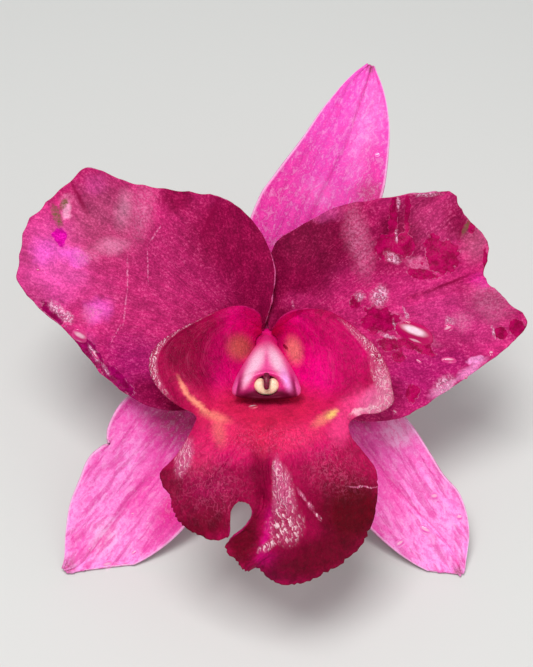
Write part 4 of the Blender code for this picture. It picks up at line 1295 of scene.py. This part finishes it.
# Lilac of a painted highlight on the right cheek.
COLUMN_LILAC_HIGHLIGHT = tint(244, 150, 220)
COLUMN_FLANGE = tint(230, 80, 152)
COLUMN_TONES = [
    (COLUMN_PINK, 0.95, 0, -6.4, 3.8, 3, 0, 0.6), (COLUMN_MAGENTA, 0.8, 0, -1.6, 2.6, 1.6, 0, 0.6),
    (COLUMN_WHITE, 0.85, -2.3, -6.2, 1.2, 3, -26, 0.8), (COLUMN_WHITE, 0.85, 2.2, -6, 1.1, 3, 26, 0.8),
    (COLUMN_MAGENTA, 0.35, 0, -6.6, 0.35, 2.6, 0, 0.9), (COLUMN_MAGENTA, 1, 0, -9.2, 3.6, 1.3),
    (COLUMN_MAGENTA, 1, -4.6, -11, 1.8, 1.8, 0, 0.4), (COLUMN_MAGENTA, 1, 4.6, -11, 1.8, 1.8, 0, 0.4),
    (COLUMN_MAGENTA, 0.5, 0, -8.6, 1.6, 1.4, 0, 0.8), (COLUMN_WHITE, 0.55, -4, -9.2, 0.8, 2, -20, 0.8),
    (COLUMN_LILAC_HIGHLIGHT, 0.9, 4.1, -9.6, 0.8, 2.3, 20, 0.8), (COLUMN_SHADE_MAROON, 1, 0, -14, 7.2, 2.6, 0, 0.3),
    (COLUMN_SHADE_MAROON, 0.8, -5.9, -11.4, 0.7, 2.2, -14, 0.9),
    (COLUMN_SHADE_MAROON, 0.8, 5.9, -11.4, 0.7, 2.2, 14, 0.9),
    (COLUMN_FLANGE, 1, -6.7, -11.2, 0.6, 2.8, -10, 0.4),
    (COLUMN_FLANGE, 1, 6.7, -11.4, 0.6, 2.8, 10, 0.4),
]


def column_skin():
    skin = Skin("column_wax", 0.1, Coat_Roughness=0.15)
    torn = ragged(skin.place, 1.6, 0.5)
    lines = blotches(stretched(torn, 0.3, 1.6, 0), 1)
    colour = tones(paint(0.5 * lines, COLUMN_MAGENTA, COLUMN_PINK), torn, COLUMN_TONES)
    spots = blotches(skin.place, 0.4)
    colour = shaded(colour, 0.9 + 0.2 * lines)
    colour = shaded(colour, 0.92 + 0.2 * soft(spots, 0.4, 0.65))
    skin.set("Coat Weight", 0.3 * oval(skin.place, 0, -6.4, 6, 4.4, 0, 0.3))
    return skin.done(colour, 0.4 + 0.15 * spots, spots + lines, 0.05)


print("column patches:", len(COLUMN_TONES))

# %% [markdown]
# The cap and the stalk let a little light in, as all thin plant tissue does, so both have a small
# subsurface share. The cap is cream with a dark cleft, and the stalk is green and blushes magenta
# where it meets the bloom.

# %% Skins of the cap and the stalk


def cap_skin():
    through = {"Subsurface_Weight": 0.2, "Subsurface_Radius": (1, 0.7, 0.4), "Subsurface_Scale": MM}
    skin = Skin("cap_cream", 0.45, **through)
    spots = blotches(skin.place, 0.6)
    colour = paint(soft(spots, 0.4, 0.65), tint(252, 224, 190), tint(246, 196, 168))
    colour = paint(0.8 * oval(skin.place, 0, -9.8, 0.9, 1.7, 0, 0.4), colour, tint(170, 60, 84))
    return skin.done(colour, 0.35 + 0.25 * spots, spots, 0.06)


def stalk_skin():
    skin = Skin("stalk_green", 0.06, Subsurface_Weight=0.1, Subsurface_Scale=MM)
    clouds = blotches(skin.place, 2.5)
    streaks = blotches(times(skin.uv, 60, 6), 1)
    colour = paint(soft(clouds, 0.35, 0.65), tint(150, 168, 82), tint(182, 190, 118))
    colour = layered(
        colour,
        (0.5 * soft(streaks, 0.5, 0.7), tint(126, 142, 64)),
        (soft(skin.along, 0.5, 0.78), tint(200, 84, 132)),
        (soft(skin.along, 0.8, 0.86), tint(226, 10, 116)),
        (soft(skin.along, 0.045, 0.02), tint(206, 200, 150)),
    )
    return skin.done(colour, 0.4 + 0.2 * streaks, streaks)


print("cap and stalk skins ready")

# %% [markdown]
# The hood's stations repeat its solid's: how far out, then its ridge, its widest level, its underside
# and its half width. The rows past the last station roll over its front edge and down into the
# pocket that holds the cap.

# %% The rows of the column
COLUMN = [
    (-0.7, -0.3, -2, -3.9, 1.5), (1.6, -0.7, -2.6, -4.8, 2), (4, -1.3, -3.3, -5.8, 2.6),
    (9, -3, -5.2, -8.1, 4), (14, -5, -7.8, -10.8, 5.6), (18, -6.6, -10.3, -13, 6.8),
    (20.2, -7.6, -11.6, -13.8, 7.2),
]
CAP_UP = -10.85
CAP_OUT = 20.2
CAP_RADII = (2.6, 2, 1.6)
POCKET_GAP = 0.12
POCKET_DEPTH = 2.2


def hood(angle, station):
    """Point of the hood's outline, with its low corners drawn out into thin flanges."""
    out, ridge, middle, under, half = station
    rise, reach = math.cos(angle), math.sin(angle)
    if rise > 0:
        up = middle + (ridge - middle) * rise**1.3
    else:
        up = middle - (middle - under) * math.sqrt(-rise)
    return (half * reach, up, out)


def oval_at(angle, out, wide, high):
    return (wide * math.sin(angle), CAP_UP + high * math.cos(angle), out)


def column_rows():
    """Rows of the column, each a function of the angle, from its foot to the bottom of the pocket."""
    rows = []
    for out in np.linspace(COLUMN[0][0], COLUMN[-1][0], 40):
        station = (out, *curve(COLUMN, [out])[0])
        rows.append(lambda angle, station=station: hood(angle, station))
    out, ridge, middle, under, half = COLUMN[-1]
    wide, high = CAP_RADII[0] + POCKET_GAP, CAP_RADII[1] + POCKET_GAP
    brow = (out + 0.7, ridge - 0.25, middle, under + 0.3, half - 0.45)
    rows.append(lambda angle: hood(angle, brow))

    def cheek(angle):
        """Half way from the brow to the pocket, swollen at both sides of the cap."""
        x, up, _ = hood(angle, brow)
        inner_x, inner_up, _ = oval_at(angle, 0, wide, high)
        swell = 0.7 * math.sin(angle) ** 2 - 0.5 * max(0, -math.cos(angle))
        return ((x + inner_x) / 2, (up + inner_up) / 2, out + 1 + swell)

    rows.append(cheek)
    rows.append(lambda angle: oval_at(angle, out + 0.5, wide, high))
    rows.append(lambda angle: oval_at(angle, CAP_OUT - POCKET_DEPTH + 0.3, wide, high))
    rows.append(lambda angle: oval_at(angle, CAP_OUT - POCKET_DEPTH, wide * 0.4, high * 0.4))
    return rows


print("rows of the column:", len(column_rows()))

# %% [markdown]
# The last rows, over the front edge and down into the pocket, lie unevenly. One smooth curve through
# all the rows lays new ones at even steps, so the front edge is rounded and shows no kink.

# %% Roll the column
COLUMN_AROUND = 96
COLUMN_ALONG = 150


def column_place():
    angles = [2 * math.pi * i / COLUMN_AROUND for i in range(COLUMN_AROUND)]
    table = np.array([[row(angle) for angle in angles] for row in column_rows()])
    at = np.cumsum([0] + [np.linalg.norm(b - a, axis=1).mean() for a, b in zip(table, table[1:])])
    flat = np.column_stack([at / at[-1], table.reshape(len(at), -1)])
    fine = curve(flat, np.linspace(0, 1, COLUMN_ALONG + 1)).reshape(-1, COLUMN_AROUND, 3)
    return lambda t, s: fine[round(s * COLUMN_ALONG), round(t * COLUMN_AROUND) % COLUMN_AROUND]


rolled("column_hood", column_place(), (COLUMN_AROUND, COLUMN_ALONG), column_skin(), "column")

# %% [markdown]
# The tooth is a small dark tongue that hangs from the hood's front edge over the cap. It is made as
# a bent rod whose free end is closed to a round tip.

# %% Make the tooth
TOOTH = [(0, -8, 20.6, 0.5), (0.3, -8.9, 21.9, 0.66), (0.62, -10.2, 22.4, 0.55), (1, -11.7, 22.1, 0.7)]


def tooth_place(t, s):
    up, out, radius = curve(TOOTH, [s])[0]
    close = math.sqrt(max(0, 1 - max(0, (s - 0.75) / 0.25) ** 2))
    angle = 2 * math.pi * t
    return (close * radius * math.sin(angle), up, out + close * 0.75 * radius * math.cos(angle))


def tooth_skin():
    skin = Skin("tooth_maroon", 0.3)
    spots = blotches(skin.place, 0.4, 2)
    colour = paint(soft(spots, 0.35, 0.65), tint(84, 4, 32), tint(132, 16, 58))
    return skin.done(colour, 0.3 + 0.2 * spots)


rolled("column_tooth", tooth_place, (24, 24), tooth_skin(), None)

# %% [markdown]
# The cap is cream and parted in two lobes. Under the hood it is a flattened ball whose middle sinks
# into a cleft.

# %% Make the cap


def cap_place(t, s):
    turn, tip = 2 * math.pi * t, math.pi * s
    x = math.sin(tip) * math.cos(turn)
    y = math.sin(tip) * math.sin(turn)
    z = -math.cos(tip)
    cleft = math.exp(-((x / 0.42) ** 2))
    wide, high, deep = CAP_RADII
    notch = 0.45 if y > 0 else 0.06
    return (wide * x, CAP_UP + high * y * (1 - notch * cleft), CAP_OUT + deep * z * (1 - 0.45 * cleft))


rolled("cap_lobes", cap_place, (64, 40), cap_skin(), "anther_cap")

# %% [markdown]
# Behind the bloom, its ribbed ovary passes into the stalk it was picked by. The photograph's view
# hides it, but it carries the bloom, so it is finished like the rest.

# %% Make the ovary and its stalk
STALK = [
    (-43, -18.6, 1.9), (-40, -15.2, 1.9), (-36, -11.8, 1.9), (-31, -8.6, 2), (-26, -6.2, 2.3),
    (-21, -4.4, 2.6), (-16, -3.2, 2.7), (-11, -2.6, 2.6), (-7, -2.5, 2.9), (-4.4, -2.5, 3.3),
    (-1.6, -2.5, 3.3), (-1, -2.5, 2.6),
]
RIBS = 6
RIB_HEIGHT = 0.07


def stalk_place(t, s):
    out = STALK[0][0] + (STALK[-1][0] - STALK[0][0]) * s
    up, radius = curve(STALK, [out])[0]
    ahead, behind = curve(STALK, [out + 0.4, out - 0.4])[:, 0]
    tilt = math.atan2(ahead - behind, 0.8) if out < -6 else 0
    ribbed = RIB_HEIGHT * min(max((-out - 6) / 4, 0), 1) * min(max((out + 34) / 8, 0), 1)
    angle = 2 * math.pi * t
    reach = radius * (1 + ribbed * math.cos(RIBS * angle))
    reach += 0.03 * noise.noise((6 * math.cos(angle), 6 * math.sin(angle), out * 0.4))
    rise = reach * math.cos(angle)
    point = [reach * math.sin(angle), up + rise * math.cos(tilt), out - rise * math.sin(tilt)]
    low = to_world(point)[2] / MM
    point[1] += max(0, -low) / math.sin(LEAN_BACK)
    return point


rolled("stalk_ribbed", stalk_place, (72, 90), stalk_skin(), "ovary_stalk")

# %% [markdown]
# Watering has left drops on the blades. Each one is a low dome that sits on the skin under it. Clear
# water would need many light rays to look right, and would show the blade's own dark colour anyway,
# so a drop is painted as it looks: dark like wet skin, pale along its lower edge, where the light
# that passed through it gathers, and bright where it mirrors the window.

# %% The look of water


def water_skin(name, dark, pale, shine, bright=0.5):
    skin = Skin(name, 0.15, Coat_Weight=0.25, Coat_Roughness=0.03)
    ripples = blotches(skin.place, 0.9, 2, 0.5)
    torn = ragged(skin.uv, 0.4, 0.1)
    colour = layered(
        paint(oval(torn, 0.48, 0.56, 0.38, 0.34), pale, dark),
        (bright * oval(torn, 0.45, 0.6, 0.3, 0.16, 8), shine),
        (0.5 * bright * oval(torn, 0.6, 0.2, 0.14, 0.04, 12), shine),
        (0.2 * soft(ripples, 0.4, 0.7), pale),
    )
    return skin.done(colour, 0.04 + 0.06 * ripples, ripples, 0.03)


SHINE = tint(255, 226, 240)
WATER = {
    "petal_left": water_skin("water_on_crimson", tint(190, 20, 104), tint(216, 60, 134), SHINE),
    "lip": water_skin("water_on_lip", tint(170, 8, 50), tint(224, 70, 104), SHINE),
    "dorsal_sepal": water_skin("water_on_pink", tint(232, 70, 172), tint(255, 150, 222), SHINE),
}
WATER["petal_right"] = WATER["petal_left"]
WATER["lateral_sepal_left"] = WATER["lateral_sepal_right"] = WATER["dorsal_sepal"]


print("kinds of water:", len({look.name for look in WATER.values()}))

# %% [markdown]
# A drop is a ball whose upper half is pressed to a low dome and whose lower half is nearly flat. Its
# outline is an oval that wobbles a little. It is laid square to the skin at the nearest point of the
# blade, so it sits flush wherever the blade slopes.

# %% One drop
FOOT_RISE = 0.22  # millimetres from the middle of a blade up to the foot of a drop
FOOT_DEEP = 0.1


def drop(bm, layer, node, right, up, long, wide, turn=0, high=0.3):
    """Adds one dome of water on a blade, at that place on the face."""
    points = made_blades[node]
    away = np.hypot(points[:, :, 0] - right, points[:, :, 1] - up)
    i, j = np.unravel_index(np.argmin(away), away.shape)
    facing = Vector(blade_slopes[node][i, j])
    foot = Vector((right, up, points[i, j, 2])) + facing * FOOT_RISE
    made = bmesh.ops.create_uvsphere(bm, u_segments=24, v_segments=12, radius=1)
    aside = (Vector((1, 0, 0)) - facing * facing.x).normalized()
    lay = Matrix((aside, facing.cross(aside), facing)).transposed()
    lay = lay @ Matrix.Rotation(math.radians(turn), 3, "Z")
    unit = {vert: vert.co.copy() for vert in made["verts"]}
    for face in {face for vert in made["verts"] for face in vert.link_faces}:
        for loop in face.loops:
            co = unit[loop.vert]
            loop[layer].uv = (0.5 + co.x / 2, 0.5 + co.y / 2)
    rise = high * math.sqrt(long * wide)
    for vert, co in unit.items():
        wobble = 1 + 0.2 * noise.noise((co.x * 1.2 + right, co.y * 1.2 + up, 0))
        deep = rise if co.z > 0 else FOOT_DEEP
        vert.co = foot + lay @ Vector((co.x * long * wobble, co.y * wide * wobble, co.z * deep))


print("foot of a drop:", FOOT_RISE, "mm above the middle of its blade")

# %% [markdown]
# A drop's place is followed by its half length, half width and turn. The largest one is lower and
# has a stronger highlight, so it is a piece of its own.

# %% Lay the drops
DROPS = {
    "petal_left": [
        (-41.6, -0.5, 2.2, 1.5, -35), (-51.3, 14.3, 0.45, 0.35), (-38.2, -4.8, 1.3, 0.45, -55),
    ],
    "petal_right": [
        (40.6, -6, 1.7, 0.8, -6), (50.2, -4.5, 0.6, 0.8), (33.9, -6.3, 0.9, 0.4, -35),
        (5.9, 6.5, 0.4, 0.6, 10), (44.4, -9.7, 0.4, 0.4), (28.4, -17.3, 0.7, 0.5, -40),
        (40.6, 1.2, 1.2, 0.9, 20),
    ],
    "lip": [(-8.8, -13.8, 0.5, 0.35), (-4.8, -13.6, 0.5, 0.4), (-2.8, -15.6, 1.25, 0.75, 10)],
    "lateral_sepal_left": [
        (-36.2, -52.6, 1.3, 1.1), (-25.8, -30.8, 0.4, 1, 10), (-30.2, -50.1, 0.8, 0.6, 30),
        (-40.4, -49, 0.6, 0.4, 30), (-30.6, -41.3, 0.5, 0.4), (-19.6, -18.6, 0.9, 0.35),
    ],
    "lateral_sepal_right": [
        (38.5, -37.2, 1.1, 1.3), (44, -41.9, 0.9, 1.1), (30.5, -47.9, 1.4, 0.9, 30),
        (36.3, -44.9, 1.6, 1, -30),
    ],
    "dorsal_sepal": [(25.4, 40.9, 0.7, 0.6)],
}
blade_slopes = {name: slopes(points) for name, points in made_blades.items()}


def water_mesh(name, look, node, places):
    bm = bmesh.new()
    layer = bm.loops.layers.uv.new("blade")
    for place in places:
        drop(bm, layer, node, *place)
    lean = Matrix.Translation(MIDDLE) @ TURN.to_4x4() @ Matrix.Scale(MM, 4)
    bmesh.ops.transform(bm, matrix=lean, verts=bm.verts)
    piece = new_piece(bm, name, [look])
    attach(piece, "root")


for node, places in DROPS.items():
    water_mesh("drops_" + node, WATER[node], node, places)

BIG_DROP = (33, 0.2, 4.4, 2.5, -26, 0.2)
big_look = water_skin("water_deep", tint(172, 0, 80), tint(192, 10, 96), SHINE, 0.9)
water_mesh("big_drop", big_look, "petal_right", [BIG_DROP])

# %% [markdown]
# A plain pale table and soft light, as in a studio. The large lamp above the top of the bloom gives
# the broad sheen on the petals and the bright crests on the lip, next to the sheen and glints that
# are painted on them, and the sky fills the shadows.

# %% Table and light
TABLE_WIDE = 3
bm = bmesh.new()
bmesh.ops.create_grid(bm, x_segments=1, y_segments=1, size=TABLE_WIDE / 2)
table_paint = bpy.data.materials.new("table_paint")
table_paint.use_nodes = True
table_shader = table_paint.node_tree.nodes["Principled BSDF"]
table_shader.inputs["Base Color"].default_value = (0.66, 0.66, 0.64, 1)
table_shader.inputs["Roughness"].default_value = 0.9
table = new_piece(bm, "table", [table_paint])


def lamp(name, place, size, watts):
    """Square lamp at a place on the face, turned to the flower."""
    light = bpy.data.lights.new(name, "AREA")
    light.size = size
    light.energy = watts
    made = bpy.data.objects.new(name, light)
    made.location = Vector(to_world(place))
    made.rotation_euler = (MIDDLE - made.location).to_track_quat("-Z", "Y").to_euler()
    scene.collection.objects.link(made)


lamp("window", (-90, 380, 640), 0.34, 4.7)
lamp("fill", (420, -60, 520), 0.7, 1)
sky = bpy.data.worlds.new("sky")
sky.use_nodes = True
sky_light = sky.node_tree.nodes["Background"]
sky_light.inputs["Color"].default_value = (0.96, 0.98, 1, 1)
sky_light.inputs["Strength"].default_value = 0.4
scene.world = sky
scene.view_settings.view_transform = "Standard"
print("lamps ready")
